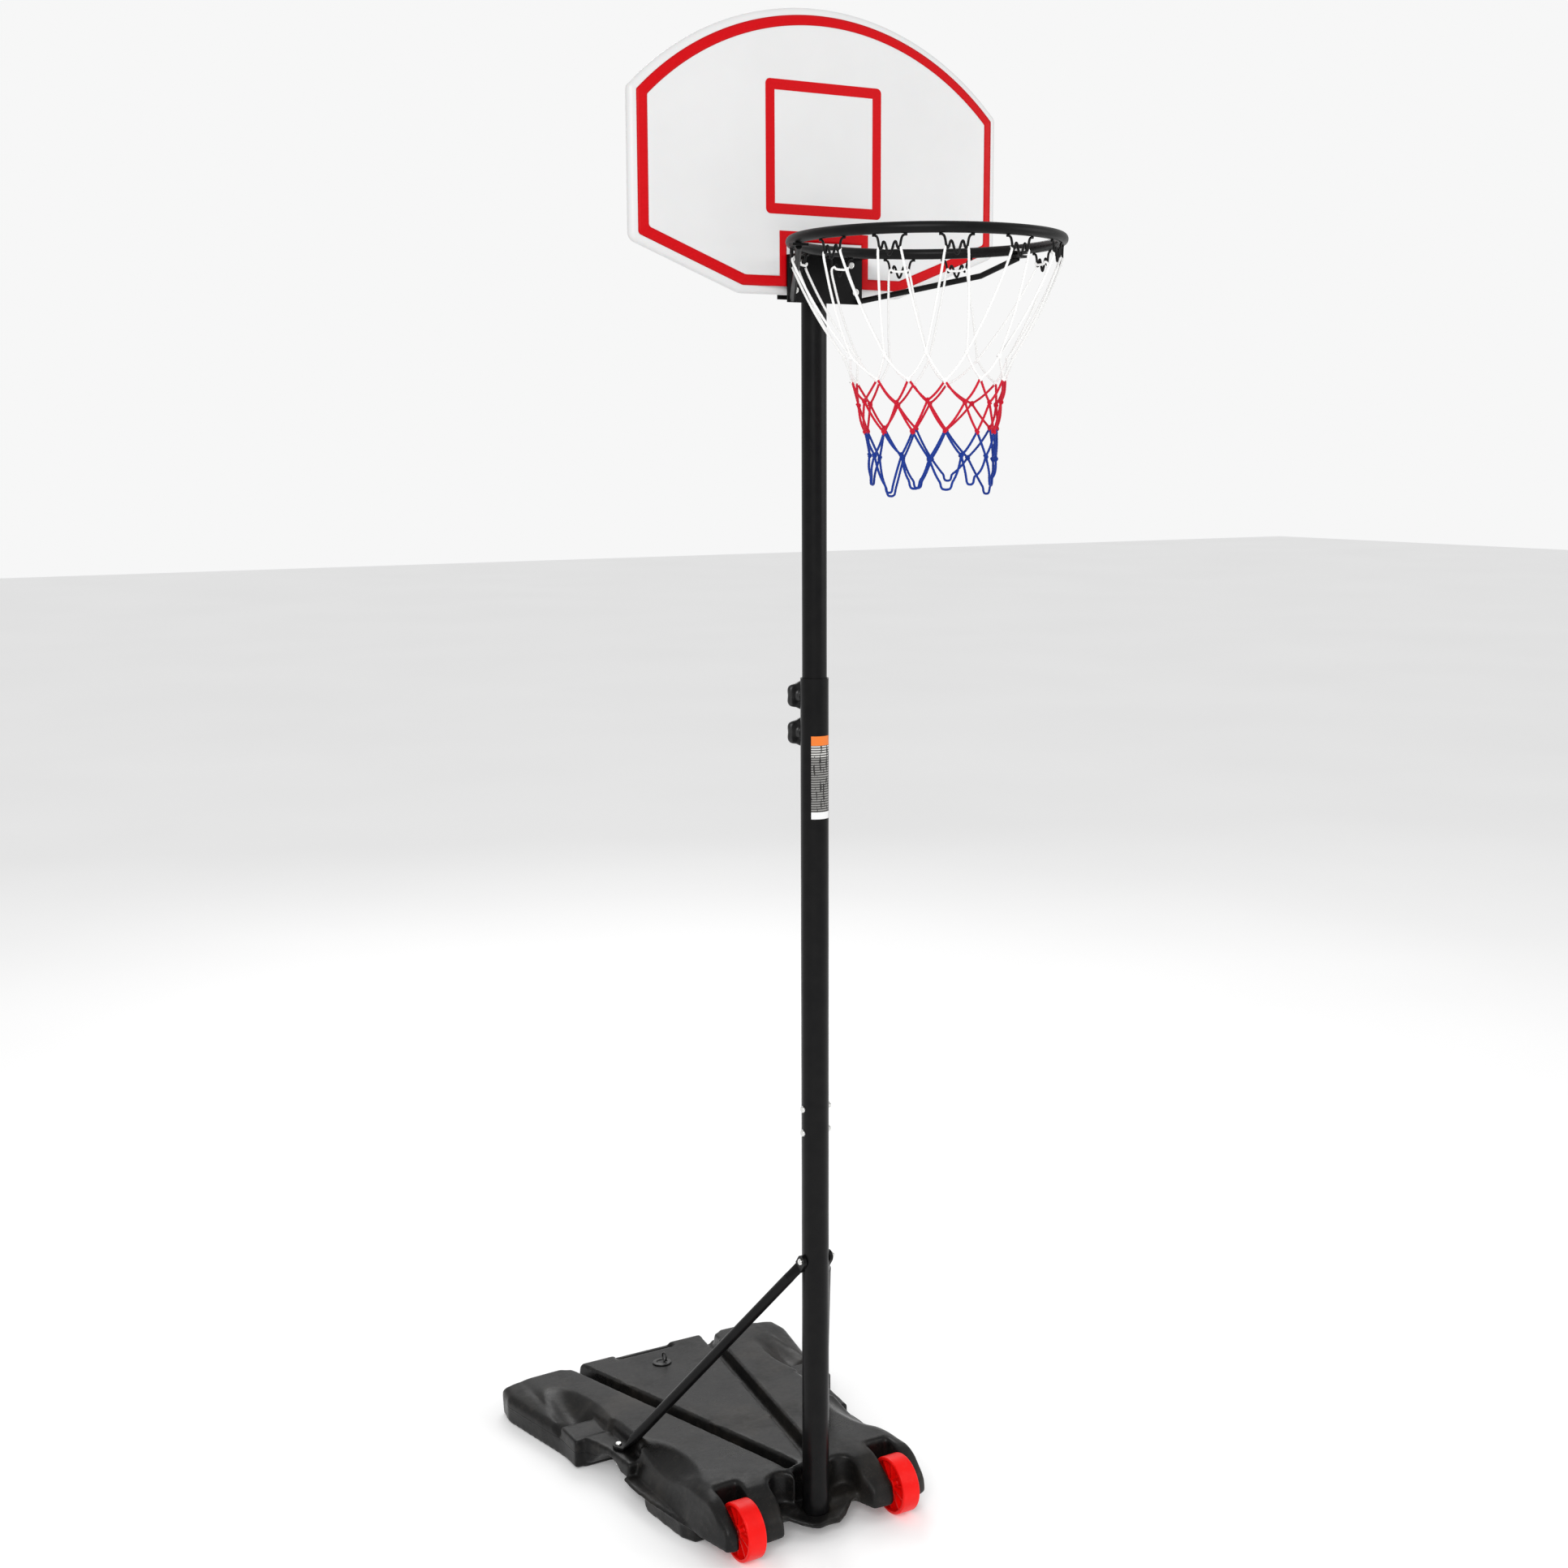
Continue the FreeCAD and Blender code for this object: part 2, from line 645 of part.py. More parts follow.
top_cap = round_cap("TopCap", size("upper_top_level"), UPPER_OUT + " + 0.5", UPPER_IN + " - 0.05", 1)
keep(top_cap, "pole_top_cap")

label_height = size("label_high") - size("label_low")
label_radius = size("pole_diameter") / 2
label_angle = size("label_angle")
label_face = label_radius + size("label_thickness")
label_outer = Part.makeCylinder(label_face, label_height, Vector(), Z_AXIS, label_angle)
label_inner = Part.makeCylinder(label_radius + 0.02, label_height, Vector(), Z_AXIS, label_angle)
label = keep(solid("Label", label_outer.cut(label_inner)), "pole_label")
label.Placement = Placement(Z_AXIS * size("label_low"), Rotation(Z_AXIS, -90 - label_angle / 2))

# ---------------------------------------------------------------- fasteners


def pan_bolt(at, direction, shank, length):
    """A pan-head bolt: its head stands on a point, its shank runs the other way."""
    radius, height = size("bolt_head") / 2, size("bolt_head_height")
    head = Part.makeCylinder(radius, height, at, direction)
    crown = at + direction * height
    rims = [e for e in head.Edges if e.CenterOfMass.isEqual(crown, 1e-6) and len(e.Vertexes) == 1]
    head = head.makeFillet(height * 0.6, rims)
    rod = Part.makeCylinder(shank / 2, length, at, direction * -1)
    return head.fuse(rod).removeSplitter()


def hex_nut(at, direction, shank):
    """A hexagon nut that stands on a point, with a clear bore for a shank."""
    across = size("nut_width")
    turn = frame_along(direction)
    corners = []
    for i in range(7):
        angle = math.radians(60 * i)
        corner = Vector(math.cos(angle), math.sin(angle), 0) * (across / math.sqrt(3))
        corners.append(at + turn.multVec(corner))
    body = Part.Face(Part.makePolygon(corners)).extrude(direction * size("nut_height"))
    bore = Part.makeCylinder(shank / 2 + 0.05, size("nut_height"), at, direction)
    return body.cut(bore)


shank = size("bolt_shank")
pole_radius = size("pole_diameter") / 2
seam_bolts, seam_nuts = [], []
for level in SEAM_LEVELS:
    seam_bolts.append(pan_bolt(Vector(-pole_radius, 0, level), -X_AXIS, shank, 2 * pole_radius + 7))
    seam_nuts.append(hex_nut(Vector(pole_radius, 0, level), X_AXIS, shank))
keep(group("SeamBolts", seam_bolts), "pole_seam_bolts")
keep(group("SeamNuts", seam_nuts), "pole_seam_nuts")

# ---------------------------------------------------------------- struts

TAB = size("strut_tab")
STRUT_RADIUS = size("strut_diameter") / 2
STRUT_FLAT = STRUT_RADIUS * 1.15
STRUT_BEND = 15
STRUT_NECK = 30
STRUT_TOP = Vector(pole_radius + TAB / 2, 0, size("strut_level"))
STRUT_FOOT = Vector(size("strut_foot_x"), size("strut_foot_y"), size("ear_top") + TAB / 2)


def flat_tab(centre, normal, along, length):
    """A flattened tube end: a rounded tongue that runs from a bolt hole along a direction."""
    across = normal.cross(along).normalize() * STRUT_FLAT
    base = centre - normal * (TAB / 2)
    end = base + along * length
    edges = [
        Part.LineSegment(base + across, end + across).toShape(),
        Part.LineSegment(end + across, end - across).toShape(),
        Part.LineSegment(end - across, base - across).toShape(),
        Part.Arc(base - across, base - along * STRUT_FLAT, base + across).toShape(),
    ]
    tongue = Part.Face(Part.Wire(edges)).extrude(normal * TAB)
    bend = Part.makeCylinder(TAB / 2, 2 * STRUT_FLAT, centre + along * length - across, across)
    return tongue.fuse(bend).removeSplitter()


def ellipse_wire(centre, wide, thin):
    """A closed ellipse from its centre and its two half axes, of which the first is longer."""
    return Part.Wire([Part.Ellipse(centre + wide, centre + thin, centre).toShape()])


def strut_end(at, normal, along, axis):
    """A flat tongue round a bolt hole, and the swaged neck from its bend to the round tube."""
    bend = at + along * STRUT_BEND
    across = axis.cross(normal).normalize()
    thin = across.cross(axis).normalize()
    narrow = ellipse_wire(bend, across * (STRUT_FLAT - 0.4), thin * (TAB / 2 - 0.1))
    inside = STRUT_RADIUS - 0.2
    round_end = ellipse_wire(bend + axis * (STRUT_NECK + 2), across * (inside + 0.01), thin * inside)
    neck_shape = Part.makeLoft([narrow, round_end], True)
    bore = Part.makeCylinder(shank / 2 + 0.1, TAB * 3, at - normal * TAB * 1.5, normal)
    return flat_tab(at, normal, along, STRUT_BEND).fuse(neck_shape).cut(bore)


def strut_directions():
    """The directions of the two tongues, each in line with the tube when seen square on."""
    top_along, foot_along = -Z_AXIS, -Y_AXIS
    for _ in range(8):
        run = (STRUT_FOOT + foot_along * STRUT_BEND) - (STRUT_TOP + top_along * STRUT_BEND)
        top_along = Vector(0, run.y, run.z).normalize()
        foot_along = Vector(-run.x, -run.y, 0).normalize()
    return top_along, foot_along


def build_strut():
    """The right strut: a round tube with a flattened, bent tongue at each end."""
    top_along, foot_along = strut_directions()
    start, end = STRUT_TOP + top_along * STRUT_BEND, STRUT_FOOT + foot_along * STRUT_BEND
    axis = (end - start).normalize()
    length = (end - start).Length - 2 * STRUT_NECK
    near = start + axis * STRUT_NECK
    rod = Part.makeCylinder(STRUT_RADIUS, length, near, axis)
    hollow = Part.makeCylinder(STRUT_RADIUS - size("strut_wall"), length - 8, near + axis * 4, axis)
    upper = strut_end(STRUT_TOP, X_AXIS, top_along, axis)
    lower = strut_end(STRUT_FOOT, Z_AXIS, foot_along, axis * -1)
    return rod.fuse([upper, lower]).removeSplitter().cut(hollow)


strut = build_strut()
keep(solid("StrutRight", strut), "strut_right")
keep(solid("StrutLeft", strut.mirror(Vector(), X_AXIS)), "strut_left")

top_span = 2 * (pole_radius + TAB)
strut_bolt = pan_bolt(Vector(-top_span / 2, 0, STRUT_TOP.z), -X_AXIS, shank, top_span + 8)
keep(solid("StrutTopBolt", strut_bolt), "strut_top_bolt")
keep(solid("StrutTopNut", hex_nut(Vector(top_span / 2, 0, STRUT_TOP.z), X_AXIS, shank)), "strut_top_nut")
ear_span = TAB + size("ear_thickness")
foot_bolts, foot_nuts = [], []
for side in (-1, 1):
    on_tab = Vector(side * STRUT_FOOT.x, STRUT_FOOT.y, size("ear_top") + TAB)
    foot_bolts.append(pan_bolt(on_tab, Z_AXIS, shank, ear_span + 7))
    foot_nuts.append(hex_nut(on_tab - Z_AXIS * ear_span, -Z_AXIS, shank))
keep(group("StrutFootBolts", foot_bolts), "strut_foot_bolts")
keep(group("StrutFootNuts", foot_nuts), "strut_foot_nuts")

# ---------------------------------------------------------------- height knobs

STUD_TIP = size("upper_diameter") / 2 + 0.3
KNOB_NEAR = pole_radius + size("weld_nut_height") + size("knob_gap")


def build_knob(name):
    """A five-lobed clamping knob about +Z with a blind bore for its stud."""
    body = doc.addObject("PartDesign::Body", name)
    core = sketch_on(body, "XY_Plane", name + "Core")
    draw_circle(core, 0, 0, "Sizes.knob_radius - 5")
    pad(body, core, "Sizes.knob_thickness", name + "CorePad")
    lobe = sketch_on(body, "XY_Plane", name + "Lobe")
    reach = size("knob_radius")
    draw_outline(lobe, [(8, -6.5, 0), (reach, -6.5, 6), (reach, 6.5, 6), (8, 6.5, 0)])
    lobe_pad = pad(body, lobe, "Sizes.knob_thickness - 3", name + "LobePad")
    lobes = body.newObject("PartDesign::PolarPattern", name + "Lobes")
    lobes.Originals = [lobe_pad]
    lobes.Axis = (core, ["N_Axis"])
    lobes.Angle = 360
    lobes.Occurrences = 5
    body.Tip = lobes
    doc.recompute()
    bore = sketch_on(body, "XY_Plane", name + "Bore")
    draw_circle(bore, 0, 0, "Sizes.stud_diameter / 2 + 0.08")
    pocket(body, bore, 10.2, name + "BoreCut", Reversed=True)
    return body


weld_nuts = []
for level, name in zip(KNOB_LEVELS, ("lower", "upper")):
    knob = keep(build_knob("Knob" + name.title()), "height_knob_" + name)
    knob.Placement = Placement(Vector(0, KNOB_NEAR, level), frame_along(Y_AXIS))
    stud = cylinder(
        "Stud" + name.title(),
        Vector(0, STUD_TIP, level),
        Y_AXIS,
        "Sizes.stud_diameter / 2",
        f"{POLE_OUT} + Sizes.weld_nut_height + Sizes.knob_gap + 10 - {UPPER_OUT} - 0.3",
    )
    keep(stud, "height_knob_stud_" + name)
    ring = Part.makeCylinder(9, size("weld_nut_height"), Vector(0, pole_radius, level), Y_AXIS)
    hole = Part.makeCylinder(size("stud_diameter") / 2 + 0.1, 20, Vector(0, pole_radius, level), Y_AXIS)
    weld_nuts.append(ring.cut(hole))
keep(group("KnobWeldNuts", weld_nuts), "knob_weld_nuts")

# ---------------------------------------------------------------- backboard

FACE = size("board_face")
BOARD_BACK = FACE + size("board_thickness")


def board_corners(inset, rounding):
    """The right half of the board's outline, bottom to crown, drawn in by an inset."""
    side, bottom = size("board_half_width"), size("board_bottom")
    top_slope = math.radians(size("board_top_slope"))
    rise = size("board_chamfer_level") - bottom
    low_slope = math.atan2(rise, side - size("board_chamfer_x"))
    peak = size("board_side_top") + side * math.tan(top_slope)
    crown_radius = (peak - size("board_top")) / (1 / math.cos(top_slope) - 1)
    foot_x = size("board_chamfer_x") - inset * (1 - math.cos(low_slope)) / math.sin(low_slope)
    low_side = size("board_chamfer_level") + inset * (1 / math.cos(low_slope) - math.tan(low_slope))
    high_side = size("board_side_top") - inset * (1 / math.cos(top_slope) - math.tan(top_slope))
    return [
        (foot_x, bottom + inset, rounding * 2),
        (side - inset, low_side, rounding),
        (side - inset, high_side, rounding * 0.7),
        (0, peak - inset / math.cos(top_slope), crown_radius - inset),
    ]


def on_plane_y(level):
    """The offset of a sketch on the XZ plane that lies at a level of Y."""
    return Placement(Vector(0, 0, -level), Rotation())


def build_board():
    """The blow-moulded board: rounded edges, a pole channel behind, bolt holes and hollow sides."""
    body = doc.addObject("PartDesign::Body", "Board")
    outline = sketch_on(body, "XZ_Plane", "BoardOutline", on_plane_y(BOARD_BACK))
    draw_outline(outline, mirrored(board_corners(0, 16)))
    board = pad(body, outline, "Sizes.board_thickness", "BoardPad")
    doc.recompute()
    flat = [
        f"Face{i}"
        for i, face in enumerate(board.Shape.Faces, start=1)
        if face.normalAt(0, 0).isEqual(-Y_AXIS, 1e-3) or face.normalAt(0, 0).isEqual(Y_AXIS, 1e-3)
    ]
    fillet = body.newObject("PartDesign::Fillet", "BoardEdges")
    fillet.Base = (board, flat)
    fillet.Radius = 7
    channel = sketch_on(body, "XZ_Plane", "PoleChannel", on_plane_y(BOARD_BACK + 1))
    top = size("upper_top_level") + 8
    draw_outline(channel, [(-23, 2100, 0), (23, 2100, 0), (23, top, 2), (-23, top, 2)])
    pocket(body, channel, 18, "PoleChannelCut", Reversed=True)
    return body


RIM_BOLTS = [(x, z) for z, x in ((2135, 56), (2177, 47))]
RIM_BOLTS = [(side * x, z) for x, z in RIM_BOLTS for side in (-1, 1)]


def build_board_cavity():
    """Three hollows: one each side of the mounting and one above it."""
    wall = size("board_wall")
    body = doc.addObject("PartDesign::Body", "BoardCavity")
    depth = f"Sizes.board_thickness - 2 * {wall}"
    outer = board_corners(10, 6)
    for side in (-1, 1):
        name = "LeftHollow" if side < 0 else "RightHollow"
        sketch = sketch_on(body, "XZ_Plane", name, on_plane_y(BOARD_BACK - wall))
        corners = [(84, 2142, 0), (150, 2142, 0), (outer[1][0], outer[1][1], 6)]
        corners += [(outer[2][0], outer[2][1], 6), (84, outer[2][1] + 60, 0)]
        draw_outline(sketch, [(side * x, z, radius) for x, z, radius in corners])
        pad(body, sketch, depth, name + "Pad")
    sketch = sketch_on(body, "XZ_Plane", "TopHollow", on_plane_y(BOARD_BACK - wall))
    right = [(90, 2345, 0), (90, 2470, 0), (60, 2535, 0)]
    draw_outline(sketch, mirrored(right))
    pad(body, sketch, depth, "TopHollowPad")
    return body


drills = [
    cylinder(f"BoardDrill{i}", Vector(x, FACE - 5, z), Y_AXIS, SHANK, 40)
    for i, (x, z) in enumerate(RIM_BOLTS)
]
keep(cut("Backboard", build_board(), [build_board_cavity(), *drills]), "backboard")


def face_band(name, label, outer, inner):
    """A thin printed band on the board's face between two closed outlines."""
    body = doc.addObject("PartDesign::Body", name)
    band = sketch_on(body, "XZ_Plane", name + "Band", on_plane_y(FACE - 0.02))
    draw_outline(band, outer)
    draw_outline(band, inner)
    pad(body, band, "Sizes.stripe_thickness", name + "Pad")
    return keep(body, label)


width = size("stripe_width")
square_half, square_low, square_high = size("square_half_width"), size("square_low"), size("square_high")
square_outer = [
    (-square_half, square_low, 8),
    (square_half, square_low, 8),
    (square_half, square_high, 8),
    (-square_half, square_high, 8),
]
inner_half = square_half - width
square_inner = [
    (-inner_half, square_low + width, 0),
    (inner_half, square_low + width, 0),
    (inner_half, square_high - width, 0),
    (-inner_half, square_high - width, 0),
]
face_band("TargetSquare", "target_square", square_outer, square_inner)


def border_corners(inset):
    """The border's outline, which steps up over the rim plate at the foot of the board."""
    foot, low_side, high_side, crown = board_corners(inset, 4)
    outer_edge = inset < size("stripe_inset") + 1
    step_half = size("plate_half_width") + 0.3 if outer_edge else size("target_half_width")
    step_top = size("target_high") - (width if outer_edge else 0)
    step = [(step_half, step_top, 0), (step_half, foot[1], 0)]
    return step + [(foot[0], foot[1], 0), low_side, high_side, crown]


face_band(
    "BorderStripe",
    "border_stripe",
    mirrored(border_corners(size("stripe_inset"))),
    mirrored(border_corners(size("stripe_inset") + width)),
)

# ---------------------------------------------------------------- pole bracket and rim

PLATE_FACE = FACE - size("plate_thickness")


def build_pole_bracket():
    """A hat-section strap that holds the board to the pole."""
    low, height = size("plate_low") + 6, size("bracket_height")
    outer, sheet_metal = size("bracket_width"), 3
    inner = outer - 2 * sheet_metal
    depth = size("upper_diameter") / 2 - BOARD_BACK + 0.5
    flanges = Part.makeBox(140, sheet_metal, height, Vector(-70, BOARD_BACK, low))
    saddle = Part.makeBox(outer, depth + sheet_metal, height, Vector(-outer / 2, BOARD_BACK, low))
    inside = Part.makeBox(inner, depth, height, Vector(-inner / 2, BOARD_BACK, low))
    shape = flanges.fuse(saddle).cut(inside).removeSplitter()
    for x, z in RIM_BOLTS:
        shape = shape.cut(Part.makeCylinder(shank / 2 + 0.1, 60, Vector(x, -40, z), Y_AXIS))
    for level in CLAMP_LEVELS:
        shape = shape.cut(Part.makeCylinder(shank / 2 + 0.1, 80, Vector(-40, CLAMP_Y, level), X_AXIS))
    return shape


keep(solid("PoleBracket", build_pole_bracket()), "pole_bracket")
clamp_bolts, clamp_nuts = [], []
bracket_width = size("bracket_width")
for level in CLAMP_LEVELS:
    head_seat = Vector(-bracket_width / 2, CLAMP_Y, level)
    clamp_bolts.append(pan_bolt(head_seat, -X_AXIS, shank, bracket_width + 8))
    clamp_nuts.append(hex_nut(head_seat + X_AXIS * bracket_width, X_AXIS, shank))
keep(group("ClampBolts", clamp_bolts), "bracket_bolts")
keep(group("ClampNuts", clamp_nuts), "bracket_nuts")

rim_bolts, rim_nuts = [], []
for x, z in RIM_BOLTS:
    rim_bolts.append(pan_bolt(Vector(x, PLATE_FACE, z), -Y_AXIS, shank, 32 + 8))
    rim_nuts.append(hex_nut(Vector(x, BOARD_BACK + 3, z), Y_AXIS, shank))
keep(group("RimBolts", rim_bolts), "rim_bolts")
keep(group("RimNuts", rim_nuts), "rim_nuts")

RIM_MIDDLE = Vector(0, size("rim_centre"), size("rim_level"))
RING_RADIUS = (size("rim_bore") + size("rim_tube")) / 2
TUBE_RADIUS = size("rim_tube") / 2


def build_rim_plate():
    """The L-shaped rim bracket: a face plate on the board and a shelf that reaches the ring."""
    half, low, high = size("plate_half_width"), size("plate_low"), size("plate_high")
    thick = size("plate_thickness")
    plate = Part.makeBox(2 * half, thick, high - low, Vector(-half, PLATE_FACE, low))
    reach = size("shelf_reach")
    shelf = Part.makeBox(2 * half, reach, thick, Vector(-half, PLATE_FACE - reach + thick, high - thick))
    shape = plate.fuse(shelf).removeSplitter()
    clear = Part.makeCylinder(RING_RADIUS + TUBE_RADIUS + 0.1, 60, RIM_MIDDLE - Z_AXIS * 30, Z_AXIS)
    shape = shape.cut(clear)
    for x, z in RIM_BOLTS:
        shape = shape.cut(Part.makeCylinder(shank / 2 + 0.1, 60, Vector(x, -80, z), Y_AXIS))
    return shape


keep(solid("RimPlate", build_rim_plate()), "rim_plate")
ring = doc.addObject("Part::Torus", "RimRing")
bind(ring, Radius1="(Sizes.rim_bore + Sizes.rim_tube) / 2", Radius2="Sizes.rim_tube / 2")
ring.Placement = Placement(RIM_MIDDLE, Rotation())
keep(ring, "rim_ring")


def wire_rod(points, radius):
    """A round rod through points, with a ball at each bend, as one solid."""
    pieces = []
    for first, last in zip(points, points[1:]):
        pieces.append(Part.makeCylinder(radius, (last - first).Length, first, last - first))
    for bend in points[1:-1]:
        pieces.append(Part.makeSphere(radius, bend))
    return pieces[0].fuse(pieces[1:]).removeSplitter()


def on_ring(angle, radius, drop):
    """A point at an angle from the board's side of the ring, and a drop below its centre plane."""
    turn = math.radians(angle)
    return RIM_MIDDLE + Vector(radius * math.sin(turn), radius * math.cos(turn), -drop)


def build_brace(side, bow, dip):
    """A brace rod from a lower corner of the rim plate to a flat pad under the ring.

    It bends a quarter of the way back from the ring, outwards by a bow and down by a dip.
    """
    radius = size("brace_diameter") / 2
    low_x, low_z = side * (size("plate_half_width") - 6), size("plate_low") + 5
    low_corner = Vector(low_x, PLATE_FACE - radius - 0.1, low_z)
    end = on_ring(side * size("brace_angle"), RING_RADIUS, TUBE_RADIUS + radius + 0.1)
    bend = end + (low_corner - end) * 0.25
    outwards = Vector(bend.x - RIM_MIDDLE.x, bend.y - RIM_MIDDLE.y, 0).normalize()
    bend = bend + outwards * bow - Z_AXIS * dip
    rod = wire_rod([low_corner, bend, end], radius)
    foot = Part.makeBox(16, 24, 4, Vector(-8, -12, -2))
    foot.Placement = Placement(
        on_ring(side * size("brace_angle"), RING_RADIUS, TUBE_RADIUS + 2.1),
        Rotation(Z_AXIS, -side * size("brace_angle")),
    )
    return rod.fuse(foot).removeSplitter()


for side, name, bow, dip in ((-1, "left", 0, 6), (1, "right", 14, 9)):
    keep(solid("Brace" + name.title(), build_brace(side, bow, dip)), "rim_brace_" + name)

# ---------------------------------------------------------------- net clips and net

CLIP_ANGLES = [22, 48, 96, 118, 144, 173, 202, 229, 256, 297, 323, 352]
CLIP_COUNT = len(CLIP_ANGLES)
FOOT_DROP = TUBE_RADIUS + size("clip_wire") / 2 + 0.1
CLIP_PROFILE = [(-24, 0), (-19, 1), (-13, 19), (-9, 9), (0, 27), (9, 9), (13, 19), (19, 1), (24, 0)]


def clip_point(angle, across, drop):
    """A point of a clip: across the clip, and a drop below its feet."""
    return on_ring(angle + math.degrees(across / RING_RADIUS), RING_RADIUS, FOOT_DROP + drop)


clips = [
    wire_rod([clip_point(angle, across, drop) for across, drop in CLIP_PROFILE], size("clip_wire") / 2)
    for angle in CLIP_ANGLES
]
keep(group("NetClips", clips), "net_clips")

CORD = size("cord_diameter") / 2
KNOT = size("knot_diameter") / 2
NET_ROWS = [(166, 126), (201, 114), (233, 106), (272, 99), (311, 94), (362, 90)]
ROW_NAMES = ["white", "white", "red", "red", "blue", "blue"]


def cord_run(first, last, gap_first, gap_last):
    """A straight run of cord between two points, short of each by a gap."""
    along = (last - first).normalize()
    start, end = first + along * gap_first, last - along * gap_last
    return Part.makeCylinder(CORD, (end - start).Length, start, along)


net = {"white": [], "red": [], "blue": []}
following = CLIP_ANGLES[1:] + [CLIP_ANGLES[0] + 360]
between = [(angle + after) / 2 for angle, after in zip(CLIP_ANGLES, following)]
rows = []
for index, (drop, radius) in enumerate(NET_ROWS):
    angles = CLIP_ANGLES if index % 2 else between
    rows.append([on_ring(angle, radius, drop) for angle in angles])
for i, angle in enumerate(CLIP_ANGLES):
    for side, knot in ((-1, rows[0][i - 1]), (1, rows[0][i])):
        hook = clip_point(angle, side * 13, 18 + size("clip_wire") / 2 + CORD)
        net["white"].append(cord_run(hook, knot, 0.5, KNOT))
for index, row in enumerate(rows):
    colour = net[ROW_NAMES[index]]
    for i, point in enumerate(row):
        if index < len(rows) - 1:
            colour.append(Part.makeSphere(KNOT, point))
        if index == 0:
            continue
        last_row = index == len(rows) - 1
        for above in (rows[index - 1][i], rows[index - 1][(i - (1 if index % 2 else -1)) % CLIP_COUNT]):
            end_gap = CORD * 1.8 if last_row else KNOT
            colour.append(cord_run(above, point, KNOT, end_gap))
        if last_row:
            colour.append(Part.makeSphere(CORD * 1.8, point))
for colour, pieces in net.items():
    keep(group("Net" + colour.title(), pieces), "net_" + colour)

# ---------------------------------------------------------------- placement, checks and files

doc.recompute()
bounds = FreeCAD.BoundBox()
for obj in SUB_PARTS:
    bounds.add(obj.Shape.optimalBoundingBox(False, False))
to_origin = Placement(Vector(-bounds.Center.x, -bounds.Center.y, -bounds.ZMin), Rotation())
for obj in SUB_PARTS:
    obj.Placement = to_origin.multiply(obj.Placement)
doc.recompute()

failed = [obj.Name for obj in doc.Objects if "Invalid" in obj.State or "Error" in obj.State]
if failed:
    raise RuntimeError("failed objects: " + ", ".join(failed))
for obj in SUB_PARTS:
    if obj.Shape.isNull() or not obj.Shape.isValid() or not obj.Shape.Solids:
        raise RuntimeError("bad shape: " + obj.Label)
for obj in SUB_PARTS:
    obj.Shape.exportStep(f"parts/{obj.Label}.step")
print(len(SUB_PARTS), "sub-parts;", bounds)
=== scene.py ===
"""Portable basketball hoop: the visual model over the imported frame.

Lengths are in metres in the frame's own axes. Helper shapes for the base and the board are worked
out in millimetres about the pole, where the pole's axis is x = y = 0, and are then moved to the frame.
"""
import json
import math
import random

import bmesh
import bpy
import numpy as np
import openvdb
from mathutils import Matrix, Vector


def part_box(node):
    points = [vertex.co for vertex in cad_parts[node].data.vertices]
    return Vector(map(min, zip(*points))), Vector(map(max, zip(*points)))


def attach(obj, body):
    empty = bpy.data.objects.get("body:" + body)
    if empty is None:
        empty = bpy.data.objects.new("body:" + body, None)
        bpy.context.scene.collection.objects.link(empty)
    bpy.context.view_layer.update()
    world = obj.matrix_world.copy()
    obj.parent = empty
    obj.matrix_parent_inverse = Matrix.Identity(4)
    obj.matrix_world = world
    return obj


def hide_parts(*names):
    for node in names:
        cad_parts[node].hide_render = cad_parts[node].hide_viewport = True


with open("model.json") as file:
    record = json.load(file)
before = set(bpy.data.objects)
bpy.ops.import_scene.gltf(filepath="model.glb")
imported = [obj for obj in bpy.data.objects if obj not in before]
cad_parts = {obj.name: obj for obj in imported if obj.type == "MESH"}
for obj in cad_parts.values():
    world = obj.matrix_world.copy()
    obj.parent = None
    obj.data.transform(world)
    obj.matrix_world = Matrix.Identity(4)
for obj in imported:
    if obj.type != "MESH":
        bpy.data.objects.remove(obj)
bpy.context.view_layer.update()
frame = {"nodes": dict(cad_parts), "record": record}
NODES = frame["nodes"]
MM = 0.001

# ---------------------------------------------------------------- reference points

pole_low, pole_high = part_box("pole_bottom")
POLE_Y = (pole_low[1] + pole_high[1]) / 2 / MM
ring_low, ring_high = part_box("rim_ring")
RING = Vector([(low + high) / 2 for low, high in zip(ring_low, ring_high)])
TUBE_R = (ring_high[2] - ring_low[2]) / 2
RING_R = (ring_high[0] - ring_low[0]) / 2 - TUBE_R


def to_frame(points):
    """Points in millimetres about the pole, moved to the frame and turned into metres."""
    points = np.asarray(points, dtype=float)
    return (points + np.array([0.0, POLE_Y, 0.0])) * MM


# ---------------------------------------------------------------- mesh helpers


def add_mesh(name, verts, faces, material, body, replaces):
    """A smooth-shaded mesh object that rides on a body and stands for some CAD nodes."""
    mesh = bpy.data.meshes.new(name)
    mesh.from_pydata([tuple(v) for v in verts], [], [tuple(f) for f in faces])
    mesh.update()
    mesh.polygons.foreach_set("use_smooth", [True] * len(mesh.polygons))
    mesh.materials.append(material)
    obj = bpy.data.objects.new(name, mesh)
    bpy.context.scene.collection.objects.link(obj)
    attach(obj, body)
    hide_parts(*replaces)
    return obj


def face_outwards(mesh):
    """Turns every face of a closed mesh outwards."""
    bm = bmesh.new()
    bm.from_mesh(mesh)
    bmesh.ops.recalc_face_normals(bm, faces=bm.faces)
    bm.to_mesh(mesh)
    bm.free()


def apply_modifier(obj, kind, **settings):
    """Adds a modifier and applies it at once."""
    modifier = obj.modifiers.new(kind.lower(), kind)
    for key, value in settings.items():
        setattr(modifier, key, value)
    bpy.context.view_layer.objects.active = obj
    bpy.ops.object.modifier_apply(modifier=modifier.name)


